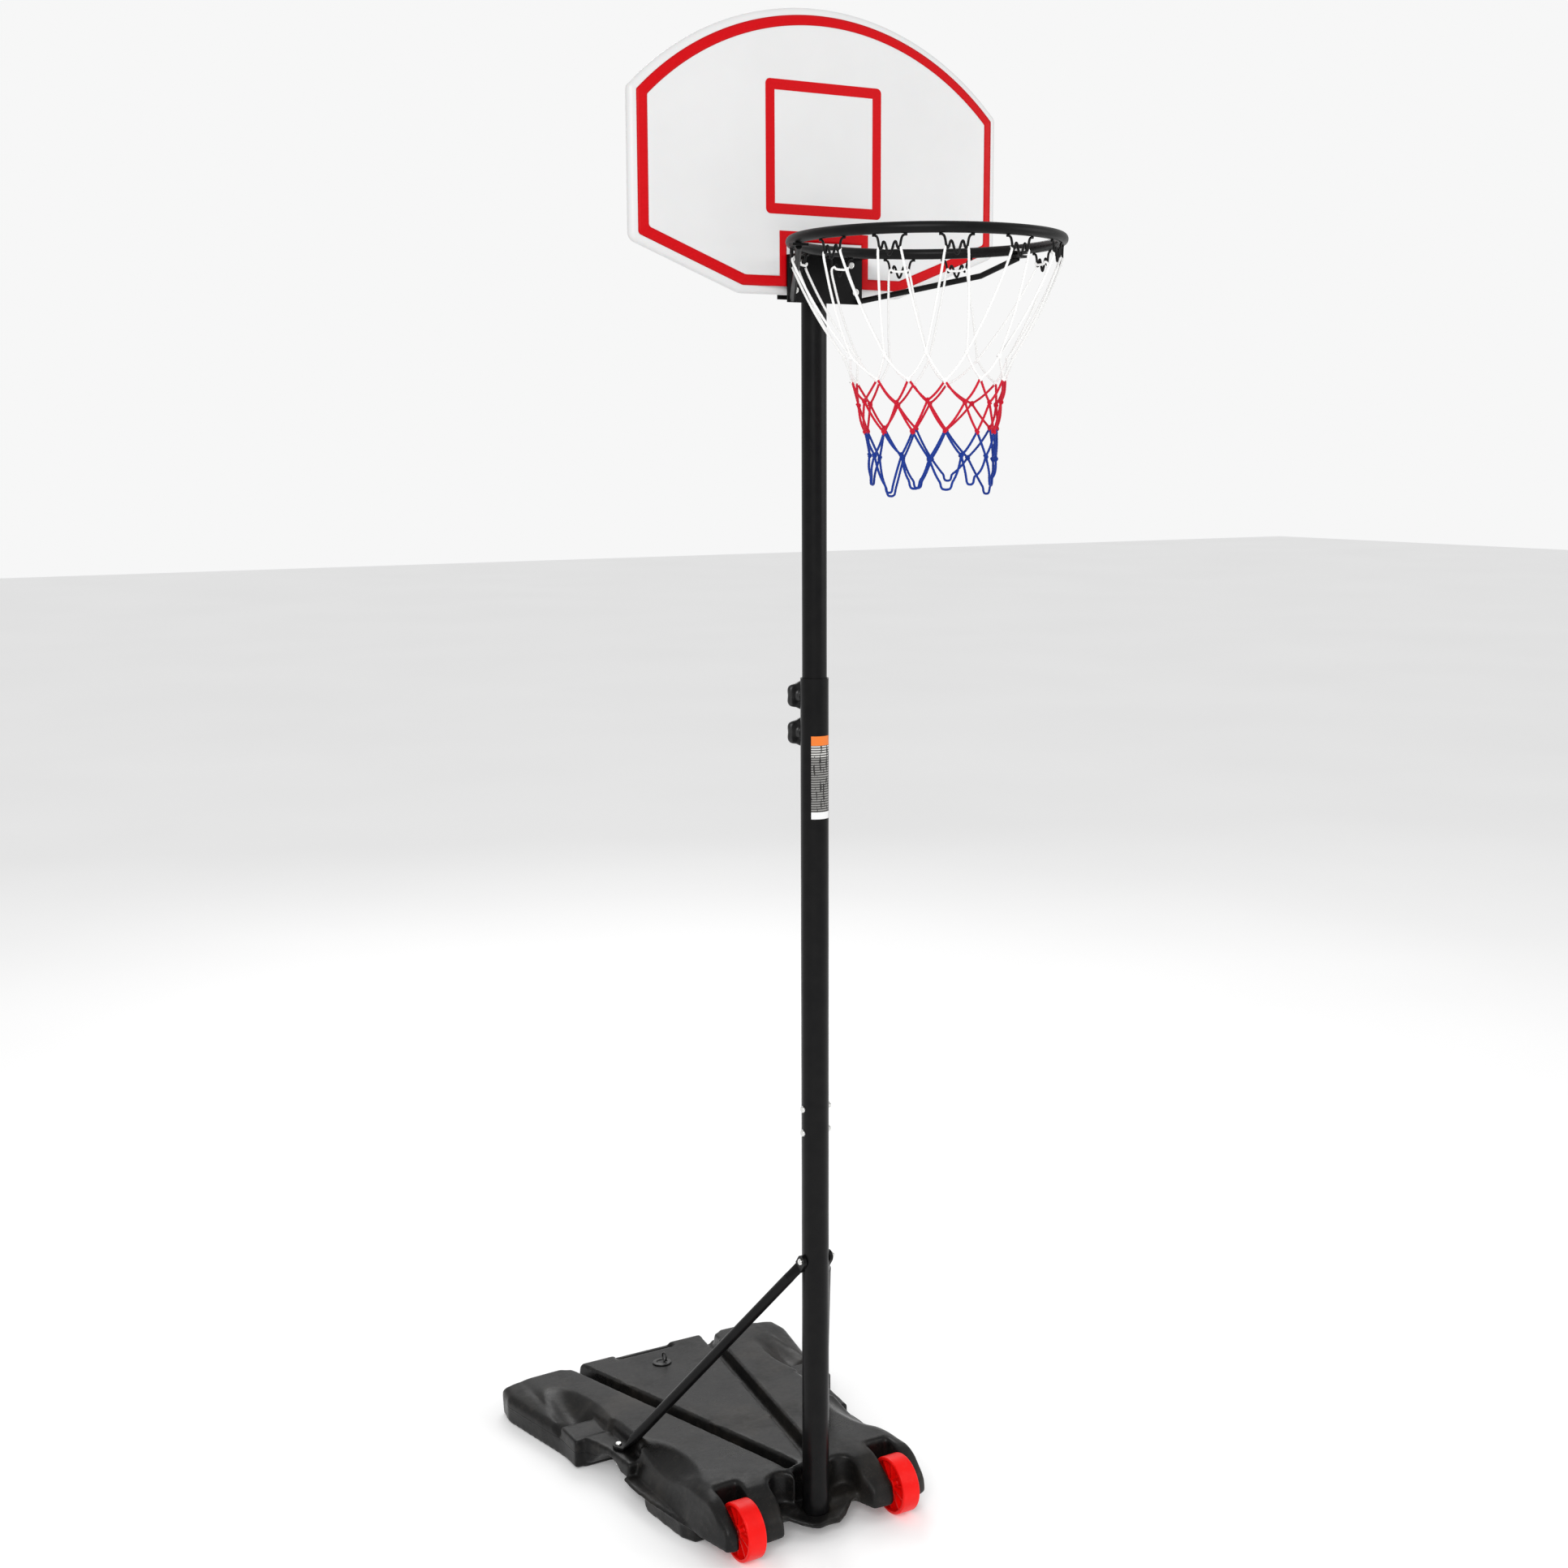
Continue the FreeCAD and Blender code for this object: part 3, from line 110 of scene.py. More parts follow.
def sweep(path, profile_at, closed=False):
    """Vertices and faces of a tube: profile_at(i, count) gives the section's 2-D points."""
    points = [Vector(p) for p in path]
    count = len(points)
    tangents = []
    for i in range(count):
        before = points[(i - 1) % count] if closed or i > 0 else points[i]
        after = points[(i + 1) % count] if closed or i < count - 1 else points[i]
        tangents.append((after - before).normalized())
    guide = Vector((0, 0, 1)) if abs(tangents[0].z) < 0.9 else Vector((1, 0, 0))
    side = tangents[0].cross(guide).normalized()
    verts, faces, size = [], [], 0
    for i, (point, tangent) in enumerate(zip(points, tangents)):
        side = (side - tangent * side.dot(tangent)).normalized()
        up = tangent.cross(side)
        section = profile_at(i, count)
        size = len(section)
        verts += [point + side * u + up * v for u, v in section]
    rings = count if closed else count - 1
    for i in range(rings):
        a, b = i * size, ((i + 1) % count) * size
        faces += [(a + k, a + (k + 1) % size, b + (k + 1) % size, b + k) for k in range(size)]
    if not closed:
        faces.append(tuple(reversed(range(size))))
        faces.append(tuple(range((count - 1) * size, count * size)))
    return verts, faces


def round_profile(radius, sides=12):
    """A plain round section of constant radius."""
    turns = [2 * math.pi * k / sides for k in range(sides)]
    section = [(radius * math.cos(turn), radius * math.sin(turn)) for turn in turns]
    return lambda i, count: section


def merge(parts):
    """Joins (verts, faces) pairs into one."""
    verts, faces = [], []
    for part_verts, part_faces in parts:
        start = len(verts)
        verts += list(part_verts)
        faces += [tuple(start + k for k in face) for face in part_faces]
    return verts, faces


def spline(points, steps):
    """A Catmull-Rom curve through points, with a number of steps per span."""
    points = [Vector(p) for p in points]
    padded = [points[0] * 2 - points[1]] + points + [points[-1] * 2 - points[-2]]
    curve = []
    for i in range(1, len(padded) - 2):
        p0, p1, p2, p3 = padded[i - 1:i + 3]
        for k in range(steps):
            t = k / steps
            straight = p1 * 2 + (p2 - p0) * t
            bend = (p0 * 2 - p1 * 5 + p2 * 4 - p3) * t * t + (p1 * 3 - p0 - p2 * 3 + p3) * t ** 3
            curve.append(0.5 * (straight + bend))
    curve.append(points[-1])
    return curve


def lathe(section, steps=64):
    """A surface of revolution about +Z from (radius, z) points, from the first to the last."""
    verts, faces = [], []
    size = len(section)
    for i in range(steps):
        angle = 2 * math.pi * i / steps
        verts += [Vector((r * math.cos(angle), r * math.sin(angle), z)) for r, z in section]
    for i in range(steps):
        a, b = i * size, ((i + 1) % steps) * size
        faces += [(a + k, b + k, b + k + 1, a + k + 1) for k in range(size - 1)]
    return verts, faces


def placed(part, matrix):
    """A (verts, faces) pair moved by a matrix."""
    verts, faces = part
    return [matrix @ Vector(v) for v in verts], faces


# ---------------------------------------------------------------- materials


class Nodes:
    """A short way to write a material's node tree."""

    def __init__(self, name, **sockets):
        """A new material, with values for some of its shader's own sockets."""
        self.material = bpy.data.materials.new(name)
        self.material.use_nodes = True
        self.tree = self.material.node_tree
        self.shader = self.tree.nodes["Principled BSDF"]
        for socket, value in sockets.items():
            self.shader.inputs[socket.replace("_", " ")].default_value = value
        self.coords = self.tree.nodes.new("ShaderNodeTexCoord").outputs["Object"]

    def node(self, kind, **settings):
        """A new node of a kind, with some of its properties set."""
        node = self.tree.nodes.new("ShaderNode" + kind)
        for key, value in settings.items():
            setattr(node, key, value)
        return node

    def link(self, source, target):
        """Joins an output to an input."""
        self.tree.links.new(source, target)

    def noise(self, scale, detail=4.0, rough=0.5, stretch=None):
        """Fractal noise over the object's own coordinates, stretched or not."""
        node = self.node("TexNoise")
        node.inputs["Scale"].default_value = scale
        node.inputs["Detail"].default_value = detail
        node.inputs["Roughness"].default_value = rough
        coords = self.coords
        if stretch:
            mapping = self.node("Mapping")
            mapping.inputs["Scale"].default_value = stretch
            self.link(coords, mapping.inputs["Vector"])
            coords = mapping.outputs["Vector"]
        self.link(coords, node.inputs["Vector"])
        return node.outputs["Fac"]

    def ramp(self, source, stops):
        """A colour ramp with (place, colour) stops."""
        node = self.node("ValToRGB")
        ramp = node.color_ramp
        while len(ramp.elements) < len(stops):
            ramp.elements.new(0.5)
        for element, (place, colour) in zip(ramp.elements, stops):
            element.position = place
            element.color = (*colour, 1.0)
        self.link(source, node.inputs["Fac"])
        return node.outputs["Color"]

    def span(self, source, low, high, out_low=0.0, out_high=1.0):
        """A value mapped from one range to another, and held at its ends."""
        node = self.node("MapRange")
        node.inputs["From Min"].default_value = low
        node.inputs["From Max"].default_value = high
        node.inputs["To Min"].default_value = out_low
        node.inputs["To Max"].default_value = out_high
        self.link(source, node.inputs["Value"])
        return node.outputs["Result"]

    def mix(self, factor, first, second):
        """A mix of two colours, each an output or a plain colour."""
        node = self.node("Mix", data_type="RGBA")
        self.link(factor, node.inputs[0])
        for value, socket in ((first, node.inputs[6]), (second, node.inputs[7])):
            if isinstance(value, tuple):
                socket.default_value = (*value, 1.0)
            else:
                self.link(value, socket)
        return node.outputs[2]

    def maths(self, operation, first, second=None):
        """One sum on outputs or plain numbers."""
        node = self.node("Math", operation=operation)
        for value, socket in zip((first, second), node.inputs):
            if value is None:
                continue
            if isinstance(value, (int, float)):
                socket.default_value = value
            else:
                self.link(value, socket)
        return node.outputs[0]

    def bump(self, height, strength, distance, onto=None):
        """A bumped normal, on top of another one or not."""
        node = self.node("Bump")
        node.inputs["Strength"].default_value = strength
        node.inputs["Distance"].default_value = distance
        self.link(height, node.inputs["Height"])
        if onto is not None:
            self.link(onto, node.inputs["Normal"])
        return node.outputs["Normal"]

    def set(self, socket, source):
        """Joins an output to one of the shader's sockets."""
        self.link(source, self.shader.inputs[socket])

    def axis(self, name):
        """One of the object's own coordinates."""
        node = self.node("SeparateXYZ")
        self.link(self.coords, node.inputs[0])
        return node.outputs[name]


PARTING = 0.033  # level of the mould's parting line round the tank


def plastic_tank():
    """Black blow-moulded polyethylene: a brown-grey bloom in patches, dust, small light specks painted in
    as glints, and a fine orange peel.
    """
    m = Nodes("tank_plastic")
    bloom = m.noise(7.0, 6.0, 0.62)
    colour = m.ramp(bloom, [
        (0.36, (0.0030, 0.0030, 0.0033)),
        (0.54, (0.0070, 0.0066, 0.0062)),
        (0.72, (0.0230, 0.0195, 0.0160)),
    ])
    dust = m.span(m.noise(48.0, 8.0, 0.72), 0.54, 0.76)
    colour = m.mix(m.maths("MULTIPLY", dust, 0.34), colour, (0.060, 0.052, 0.043))
    # Painted glints: small light specks in the colour stand for the sparkle of light off the orange peel.
    painted_glint_specks = m.span(m.noise(420.0, 2.0, 0.5), 0.66, 0.74)
    colour = m.mix(m.maths("MULTIPLY", painted_glint_specks, 0.25), colour, (0.10, 0.09, 0.08))
    m.set("Base Color", colour)
    patches = m.span(m.noise(9.0, 4.0, 0.6), 0.35, 0.7, 0.27, 0.50)
    m.set("Roughness", m.maths("ADD", patches, m.span(m.noise(120.0, 3.0), 0.3, 0.7, -0.04, 0.05)))
    m.shader.inputs["Specular IOR Level"].default_value = 0.22
    fine = m.bump(m.noise(520.0, 3.0, 0.65), 0.30, 0.0006)
    wavy = m.bump(m.noise(26.0, 2.0, 0.5), 0.12, 0.004, fine)
    from_seam = m.maths("ABSOLUTE", m.maths("SUBTRACT", m.axis("Z"), PARTING))
    seam = m.span(from_seam, 0.0004, 0.0013, 1.0, 0.0)
    m.set("Normal", m.bump(seam, 0.8, 0.0012, wavy))
    return m.material


def plastic_black():
    """Satin black injection-moulded plastic for the knobs, the plug and the cap."""
    m = Nodes("black_plastic")
    tone = m.noise(60.0, 5.0)
    m.set("Base Color", m.ramp(tone, [(0.3, (0.0035, 0.0035, 0.0038)), (0.75, (0.0085, 0.0083, 0.0083))]))
    m.set("Roughness", m.span(m.noise(90.0, 4.0), 0.3, 0.7, 0.30, 0.44))
    m.set("Normal", m.bump(m.noise(1400.0, 2.0), 0.12, 0.0004))
    return m.material


def plastic_red():
    """Injection-moulded red polyethylene, slightly translucent looking, with rubbed patches."""
    m = Nodes("wheel_red")
    wear = m.span(m.noise(70.0, 6.0, 0.65), 0.55, 0.75)
    base = m.ramp(m.noise(24.0, 3.0), [(0.3, (0.80, 0.003, 0.002)), (0.7, (0.92, 0.006, 0.004))])
    m.set("Base Color", m.mix(m.maths("MULTIPLY", wear, 0.30), base, (0.88, 0.05, 0.04)))
    m.set("Roughness", m.span(m.noise(40.0, 4.0), 0.3, 0.7, 0.28, 0.44))
    m.shader.inputs["Specular IOR Level"].default_value = 0.2
    m.set("Normal", m.bump(m.noise(700.0, 3.0), 0.08, 0.0004))
    return m.material


def plastic_board():
    """White blow-moulded polyethylene, a little grey on the flat face."""
    m = Nodes("board_white")
    cloud = m.noise(4.0, 4.0, 0.55)
    m.set("Base Color", m.ramp(cloud, [(0.3, (0.655, 0.655, 0.655)), (0.7, (0.700, 0.700, 0.700))]))
    m.set("Roughness", m.span(m.noise(30.0, 4.0), 0.3, 0.7, 0.34, 0.46))
    m.shader.inputs["Subsurface Weight"].default_value = 0.05
    m.shader.inputs["Subsurface Scale"].default_value = 0.006
    fine = m.bump(m.noise(800.0, 3.0, 0.6), 0.08, 0.0005)
    m.set("Normal", m.bump(m.noise(14.0, 2.0), 0.05, 0.004, fine))
    return m.material


def print_red():
    """Red screen print: a thin film with slightly uneven ink."""
    m = Nodes("print_red")
    ink = m.noise(260.0, 5.0, 0.6)
    m.set("Base Color", m.ramp(ink, [(0.3, (0.50, 0.0003, 0.003)), (0.75, (0.57, 0.0008, 0.005))]))
    m.set("Roughness", m.span(m.noise(50.0, 3.0), 0.3, 0.7, 0.36, 0.48))
    m.shader.inputs["Specular IOR Level"].default_value = 0.12
    m.set("Normal", m.bump(m.noise(1200.0, 2.0), 0.08, 0.0003))
    return m.material


def paint(name, low, high, rough_low, rough_high, grain=600.0):
    """Black powder coat: fine orange peel and a little dust."""
    m = Nodes(name)
    m.set("Base Color", m.ramp(m.noise(40.0, 5.0, 0.6), [(0.3, low), (0.75, high)]))
    m.set("Roughness", m.span(m.noise(18.0, 4.0), 0.3, 0.7, rough_low, rough_high))
    m.shader.inputs["Specular IOR Level"].default_value = 0.13
    m.shader.inputs["Coat Weight"].default_value = 0.02
    m.shader.inputs["Coat Roughness"].default_value = 0.25
    m.set("Normal", m.bump(m.noise(grain, 3.0, 0.6), 0.10, 0.0004))
    return m.material


def zinc_plate():
    """Bright zinc plating with faint iridescent patches and small scratches."""
    m = Nodes("zinc", Metallic=1.0)
    m.set("Base Color", m.ramp(m.noise(160.0, 5.0), [
        (0.3, (0.62, 0.62, 0.60)),
        (0.55, (0.78, 0.78, 0.77)),
        (0.8, (0.72, 0.70, 0.62)),
    ]))
    m.set("Roughness", m.span(m.noise(300.0, 4.0), 0.3, 0.7, 0.20, 0.38))
    m.set("Normal", m.bump(m.noise(900.0, 2.0, stretch=(1.0, 1.0, 6.0)), 0.10, 0.0003))
    return m.material


def label_print():
    """A generic label: an orange header, rows of plain light bars on black and a white foot."""
    low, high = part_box("pole_label")
    m = Nodes("label_print")
    height = m.span(m.axis("Z"), low[2], high[2])
    row = m.maths("FRACT", m.maths("MULTIPLY", height, 34.0))
    in_row = m.maths("GREATER_THAN", row, 0.48)
    ends = m.noise(30.0, 2.0, stretch=(9.0, 0.1, 1.4))
    bars = m.maths("MULTIPLY", in_row, m.maths("GREATER_THAN", ends, 0.40))
    strength = m.span(m.maths("GREATER_THAN", height, 0.745), 0.0, 1.0, 0.34, 0.78)
    body = m.mix(m.maths("MULTIPLY", bars, strength), (0.020, 0.019, 0.018), (0.80, 0.79, 0.76))
    colour = m.mix(m.maths("GREATER_THAN", height, 0.888), body, (0.78, 0.19, 0.025))
    m.set("Base Color", m.mix(m.maths("LESS_THAN", height, 0.085), colour, (0.80, 0.80, 0.80)))
    m.set("Roughness", m.span(m.noise(80.0, 3.0), 0.3, 0.7, 0.38, 0.50))
    m.shader.inputs["Specular IOR Level"].default_value = 0.3
    m.set("Normal", m.bump(m.noise(500.0, 2.0), 0.05, 0.0003))
    return m.material


def cord(name, low, high):
    """Twisted polyester cord: fine filaments and a soft sheen."""
    m = Nodes(name, Sheen_Weight=0.08, Sheen_Roughness=0.4, Specular_IOR_Level=0.2)
    m.set("Base Color", m.ramp(m.noise(700.0, 4.0, 0.7), [(0.3, low), (0.7, high)]))
    m.set("Roughness", m.span(m.noise(120.0, 3.0), 0.3, 0.7, 0.55, 0.75))
    m.set("Normal", m.bump(m.noise(2600.0, 3.0, 0.7), 0.5, 0.0004))
    return m.material


TANK, BLACK, RED = plastic_tank(), plastic_black(), plastic_red()
BOARD, PRINT = plastic_board(), print_red()
POLE = paint("pole_paint", (0.0028, 0.0028, 0.0032), (0.0060, 0.0058, 0.0058), 0.26, 0.36)
RIM = paint("rim_paint", (0.0030, 0.0030, 0.0033), (0.0062, 0.0062, 0.0062), 0.34, 0.46, 900.0)
BOLT = paint("bolt_black", (0.008, 0.008, 0.008), (0.018, 0.018, 0.017), 0.30, 0.42)
ZINC, LABEL = zinc_plate(), label_print()
CORDS = {
    "white": cord("cord_white", (0.84, 0.84, 0.83), (0.93, 0.93, 0.92)),
    "red": cord("cord_red", (0.48, 0.002, 0.016), (0.64, 0.005, 0.030)),
    "blue": cord("cord_blue", (0.002, 0.022, 0.19), (0.005, 0.042, 0.33)),
}
BY_SLOT = {
    "tank_plastic": TANK, "black_plastic": BLACK, "wheel_red": RED, "board_white": BOARD,
    "print_red": PRINT, "pole_paint": POLE, "rim_paint": RIM, "bolt_black": BOLT, "zinc": ZINC,
    "label_print": LABEL,
    "cord_white": CORDS["white"], "cord_red": CORDS["red"], "cord_blue": CORDS["blue"],
}


def finish_node(name, material):
    """Gives a CAD node's every material slot one material."""
    slots = NODES[name].data.materials
    if len(slots) == 0:
        slots.append(material)
    for i in range(len(slots)):
        slots[i] = material


for part in frame["record"]["subparts"]:
    finish_node(part["node"], BY_SLOT[part["material_slot"]])

# ---------------------------------------------------------------- base tank

GRID = 3.5  # cell size of the distance field
REACH = 12.0  # how far from the skin the field is kept
X = np.arange(-336, 337, GRID, dtype=np.float32)
Y = np.arange(-84, 724, GRID, dtype=np.float32)
Z = np.arange(-14, 132, GRID, dtype=np.float32)

CROWN = 112.0  # level of the sloping top at the pole
FALL = math.tan(math.radians(4.2))  # and how it falls towards the back
SOCKET_R = 22.6
WHEEL_X = 157.0
STRUT_FOOT = (222.0, 340.0)
PLUG_Y, PLUG_R = 600.0, 15.4
CHANNEL_START, CHANNEL_RUN = (24.0, 44.0), (132.0, 676.0)
CHANNEL_HALF, CHANNEL_DEPTH = 10.5, 28.0
TICK_OFFSET, TICK_HALF, TICK_R = 14.0, 13.0, 3.0

# Outlines are right halves seen from above; the tank's and the lip's also close round x < 0.
TANK_OUTLINE = [
    (0, -4), (78, -8), (92, -50), (135.5, -52), (178.5, -52), (204, -44), (221, 34), (231, 90),
    (246, 172), (252, 240), (249, 276), (206, 284), (206, 402), (262, 404), (274, 424), (317, 646),
    (309, 692), (150, 700), (0, 701), (-400, 701), (-400, -4),
]
EAR_OUTLINE = [(176, 270), (236, 270), (240, 312), (243, 346), (252, 378), (264, 410), (176, 410)]
FOOT_OUTLINE = [
    (0, 60), (96, 60), (96, 84), (150, 84), (150, 58), (210, 58), (225, 88), (237, 208), (176, 210),
    (176, 300), (0, 300),
]
LIP_OUTLINE = [
    (0, -48), (20, -50), (38, -40), (66, -16), (84, -12), (96, -14), (96, 44), (0, 44), (-96, 44),
    (-96, -48),
]
# Small stiffening marks beside the channels: distance along, side of the channel, side of the tank.
TICKS = [(232, -1, -1), (505, -1, -1), (214, -1, 1), (392, -1, 1), (600, 1, 1)]


def blend_min(a, b, k):
    """The lower of two fields, with a soft change over a width k."""
    h = np.clip(0.5 + 0.5 * (b - a) / k, 0, 1)
    return b * (1 - h) + a * h - k * h * (1 - h)


def blend_max(a, b, k):
    """The higher of two fields, with a soft change over a width k."""
    return -blend_min(-a, -b, k)


def outline_distance(px, py, corners):
    """Signed distance to a closed polygon, negative inside."""
    best = np.full(px.shape, 1e9, dtype=np.float32)
    inside = np.zeros(px.shape, dtype=bool)
    for (ax, ay), (bx, by) in zip(corners, corners[1:] + corners[:1]):
        ex, ey = bx - ax, by - ay
        t = np.clip(((px - ax) * ex + (py - ay) * ey) / (ex * ex + ey * ey), 0, 1)
        best = np.minimum(best, np.hypot(px - ax - ex * t, py - ay - ey * t))
        if ay != by:
            crosses = (ay > py) != (by > py)
            inside ^= crosses & (px < ex * (py - ay) / ey + ax)
    return np.where(inside, -best, best)


def steps(values, points):
    """A line through (place, level) points."""
    places, levels = zip(*points)
    return np.interp(values, places, levels).astype(np.float32)


def hollow(ax, y, centre, reach, depth):
    """A soft round dish in a height field."""
    r2 = ((ax - centre[0]) / reach[0]) ** 2 + ((y - centre[1]) / reach[1]) ** 2
    return depth * np.clip(1 - r2, 0, 1) ** 2


def rounded_box(ax, y, z, low, high, radius):
    """Signed distance to an upright rounded box."""
    centre = [(a + b) / 2 for a, b in zip(low, high)]
    half = [(b - a) / 2 - radius for a, b in zip(low, high)]
    q = [np.abs(v - c) - h for v, c, h in zip((ax, y, z), centre, half)]
    outside = np.sqrt(sum(np.maximum(v, 0) ** 2 for v in q))
    return outside + np.minimum(np.maximum(np.maximum(q[0], q[1]), q[2]), 0) - radius


def plan_distance(corners):
    """Distance to an outline in plan, the same at every level and on both sides."""
    plan_x, plan_y = np.broadcast_arrays(np.abs(X)[:, None], Y[None, :])
    return outline_distance(plan_x, plan_y, corners)[:, :, None]


def tank_hull(ax, y, z, crown):
    """The wedge with its falling front and wings, and the dishes and pits in its top."""
    wall = plan_distance(TANK_OUTLINE) + np.where(z > 40, (z - 40) * 0.10, (40 - z) * 0.05)
    front = steps(Y, [(-90, 26), (-60, 54), (-34, 74), (-8, 91), (18, 103), (56, 114), (760, 160)])
    wing = steps(np.abs(X), [(0, 128), (196, 108), (232, 80), (270, 55), (340, 36)])[:, None, None]
    wing = wing + 9 * np.clip((y - 520) / 130, 0, 1) * np.clip((ax - 230) / 50, 0, 1)
    top = blend_min(blend_min(crown, front[None, :, None], 14), wing, 12)
    top = top - hollow(ax, y, (236, 486), (44, 140), 30) - hollow(ax, y, (208, 186), (52, 128), 25)
    top = top - hollow(ax, y, (205, 60), (28, 60), 5)
    pit = np.clip((ax - 206) / 14, 0, 1) * np.clip((500 - y) / 30, 0, 1)
    top = top - pit * np.maximum(top - 37, 0)
    return blend_max(wall, (z - top) * 0.95, 11)


def strut_ear(ax, y, z):
    """The arched flange that carries a strut's foot, with its boss."""
    arch = 46 - 34 * np.clip(np.abs(y - 338) / 56, 0, 1) ** 2.2
    flange = blend_max(plan_distance(EAR_OUTLINE), blend_max(z - 59.5, arch - z, 3), 4)
    boss = np.maximum(np.hypot(ax - STRUT_FOOT[0], y - STRUT_FOOT[1]) - 10, np.abs(z - 46) - 13.5)
    return flange, boss


def cut_channels(body, x, y, z, crown):
    """The two channels that spread from the pole to the back, with the marks on their edges."""
    ax = np.abs(x)
    run = np.array(CHANNEL_RUN) / math.hypot(*CHANNEL_RUN)
    along = (ax - CHANNEL_START[0]) * run[0] + (y - CHANNEL_START[1]) * run[1]
    across = (ax - CHANNEL_START[0]) * run[1] - (y - CHANNEL_START[1]) * run[0]
    widening = np.clip(z - crown + CHANNEL_DEPTH, 0, CHANNEL_DEPTH) * 0.13
    channel = blend_max(np.abs(across) - CHANNEL_HALF - widening, crown - CHANNEL_DEPTH - z, 6)
    body = blend_max(body, -np.maximum(channel, -along), 5)
    for place, side, sign in TICKS:
        end = np.clip(along - place, -TICK_HALF, TICK_HALF)
        off = (across - side * TICK_OFFSET) ** 2 + (z - crown + 2.5) ** 2
        tick = np.sqrt((along - place - end) ** 2 + off) - TICK_R
        body = np.where(x * sign > 0, blend_min(body, tick, 2), body)
    return body


def cut_front(body, ax, y, z):
    """The wheel slots, the cups and the well beside the pole, and the raised underside with its foot."""
    slot = blend_max(np.abs(ax - WHEEL_X) - 22.0, y - 46, 9)
    body = blend_max(body, -slot, 10)
    cup = blend_max(np.hypot(ax - 60, y - 6) - 26.5, 47 - z, 8)
    body = blend_max(body, -cup, 8)
    well = blend_max(ax - 30 - np.clip(-y, 0, 60) * 0.35, np.maximum(y - 34, 40 - z), 10)
    body = blend_max(body, -well, 10)
    body = blend_max(body, -np.maximum(y - 300, z - 31), 4)
    foot = np.maximum(plan_distance(FOOT_OUTLINE) + np.clip(24 - z, 0, 24) * 0.12, z - 36)
    return blend_min(body, foot, 3)


def add_lip(body, x, y, z):
    """The front lip under the pole, and the pole's socket."""
    rise = steps(np.abs(X), [(0, 31), (26, 31), (44, 35), (70, 44), (96, 50)])[:, None, None]
    lip = blend_max(plan_distance(LIP_OUTLINE), np.abs(z - rise) - 5.0, 4)
    body = blend_min(body, lip, 7)
    return np.maximum(body, -np.maximum(np.hypot(x, y) - SOCKET_R, 26 - z))


def cut_back(body, x, y, z, seat, crown):
    """The hand grip, the notches in the back edge, the filler hole and the strut bolts' holes."""
    ax = np.abs(x)
    grip = rounded_box(ax, y, seat, (-63, 669, -30), (63, 686, 34), 5)
    body = blend_max(body, -grip, 3)
    rail = np.maximum(np.maximum(ax - 62, 676 - y), seat - 7)
    body = blend_max(body, -rail, 4)
    for side in (-1, 1):
        notch = np.hypot(x - side * 162, (y - 704) * 0.9) - 20
        body = blend_max(body, -np.maximum(notch, crown - 21 - z), 6)
    filler = np.hypot(x, y - PLUG_Y + seat * FALL) - PLUG_R
    body = blend_max(body, -np.maximum(filler, seat - 12), 2)
    return np.maximum(body, 4.2 - np.hypot(ax - STRUT_FOOT[0], y - STRUT_FOOT[1]))


def tank_field():
    """The distance field of the tank's outside over the grid."""
    x, y, z = np.meshgrid(X, Y, Z, indexing="ij", sparse=True)
    ax = np.abs(x)
    crown = CROWN - FALL * y
    body = tank_hull(ax, y, z, crown)
    body = blend_min(body, rounded_box(ax, y, z, (206, 404, 3), (281, 474, 57), 4), 3)
    flange, boss = strut_ear(ax, y, z)
    body = blend_min(blend_min(body, flange, 4), boss, 2)
    body = cut_channels(body, x, y, z, crown)
    body = cut_front(body, ax, y, z)
    body = add_lip(body, x, y, z)
    body = cut_back(body, x, y, z, crown - z, crown)
    return np.maximum(body, -z).astype(np.float32)


def build_tank():
    """The tank's skin from its distance field, with the grid's stepping smoothed away."""
    grid = openvdb.FloatGrid(50.0)
    grid.copyFromArray(np.clip(tank_field(), -REACH, REACH))
    points, quads = grid.convertToQuads(isovalue=0.0)
    verts = to_frame(points * GRID + np.array([X[0], Y[0], Z[0]]))
    obj = add_mesh("tank_body", verts, quads[:, ::-1], TANK, "base", ["base_tank"])
    apply_modifier(obj, "SMOOTH", factor=0.5, iterations=3)
    places = np.empty(len(obj.data.vertices) * 3)
    obj.data.vertices.foreach_get("co", places)
    places[2::3] = np.maximum(places[2::3], 0.0)
    obj.data.vertices.foreach_set("co", places)


build_tank()

# ---------------------------------------------------------------- backboard

board_low, board_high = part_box("backboard")
FACE = board_low[1] / MM - POLE_Y
BACK = board_high[1] / MM - POLE_Y
HALF, BOTTOM, CREST = board_high[0] / MM, board_low[2] / MM, board_high[2] / MM
CHAMFER_X, LOW_SIDE, HIGH_SIDE = 148.0, 2201.0, 2424.0
TOP_SLOPE = math.radians(43.5)
LOW_SLOPE = math.atan2(LOW_SIDE - BOTTOM, HALF - CHAMFER_X)


def rounded(corners, per_arc):
    """Points of a closed outline whose corners (x, z, radius) are rounded."""
    points = []
    count = len(corners)
    for i, (x, z, radius) in enumerate(corners):
        here = Vector((x, z))
        before, after = Vector(corners[i - 1][:2]), Vector(corners[(i + 1) % count][:2])
        one, two = (before - here).normalized(), (after - here).normalized()
        turn = one.angle(two)
        reach = radius / math.tan(turn / 2)
        centre = here + (one + two).normalized() * (radius / math.sin(turn / 2))
        start, end = here + one * reach - centre, here + two * reach - centre
        sweep_angle = math.atan2(start.x * end.y - start.y * end.x, start.dot(end))
        for k in range(per_arc[i] + 1):
            angle = sweep_angle * k / per_arc[i]
            c, s = math.cos(angle), math.sin(angle)
            points.append((centre.x + start.x * c - start.y * s, centre.y + start.x * s + start.y * c))
    return points


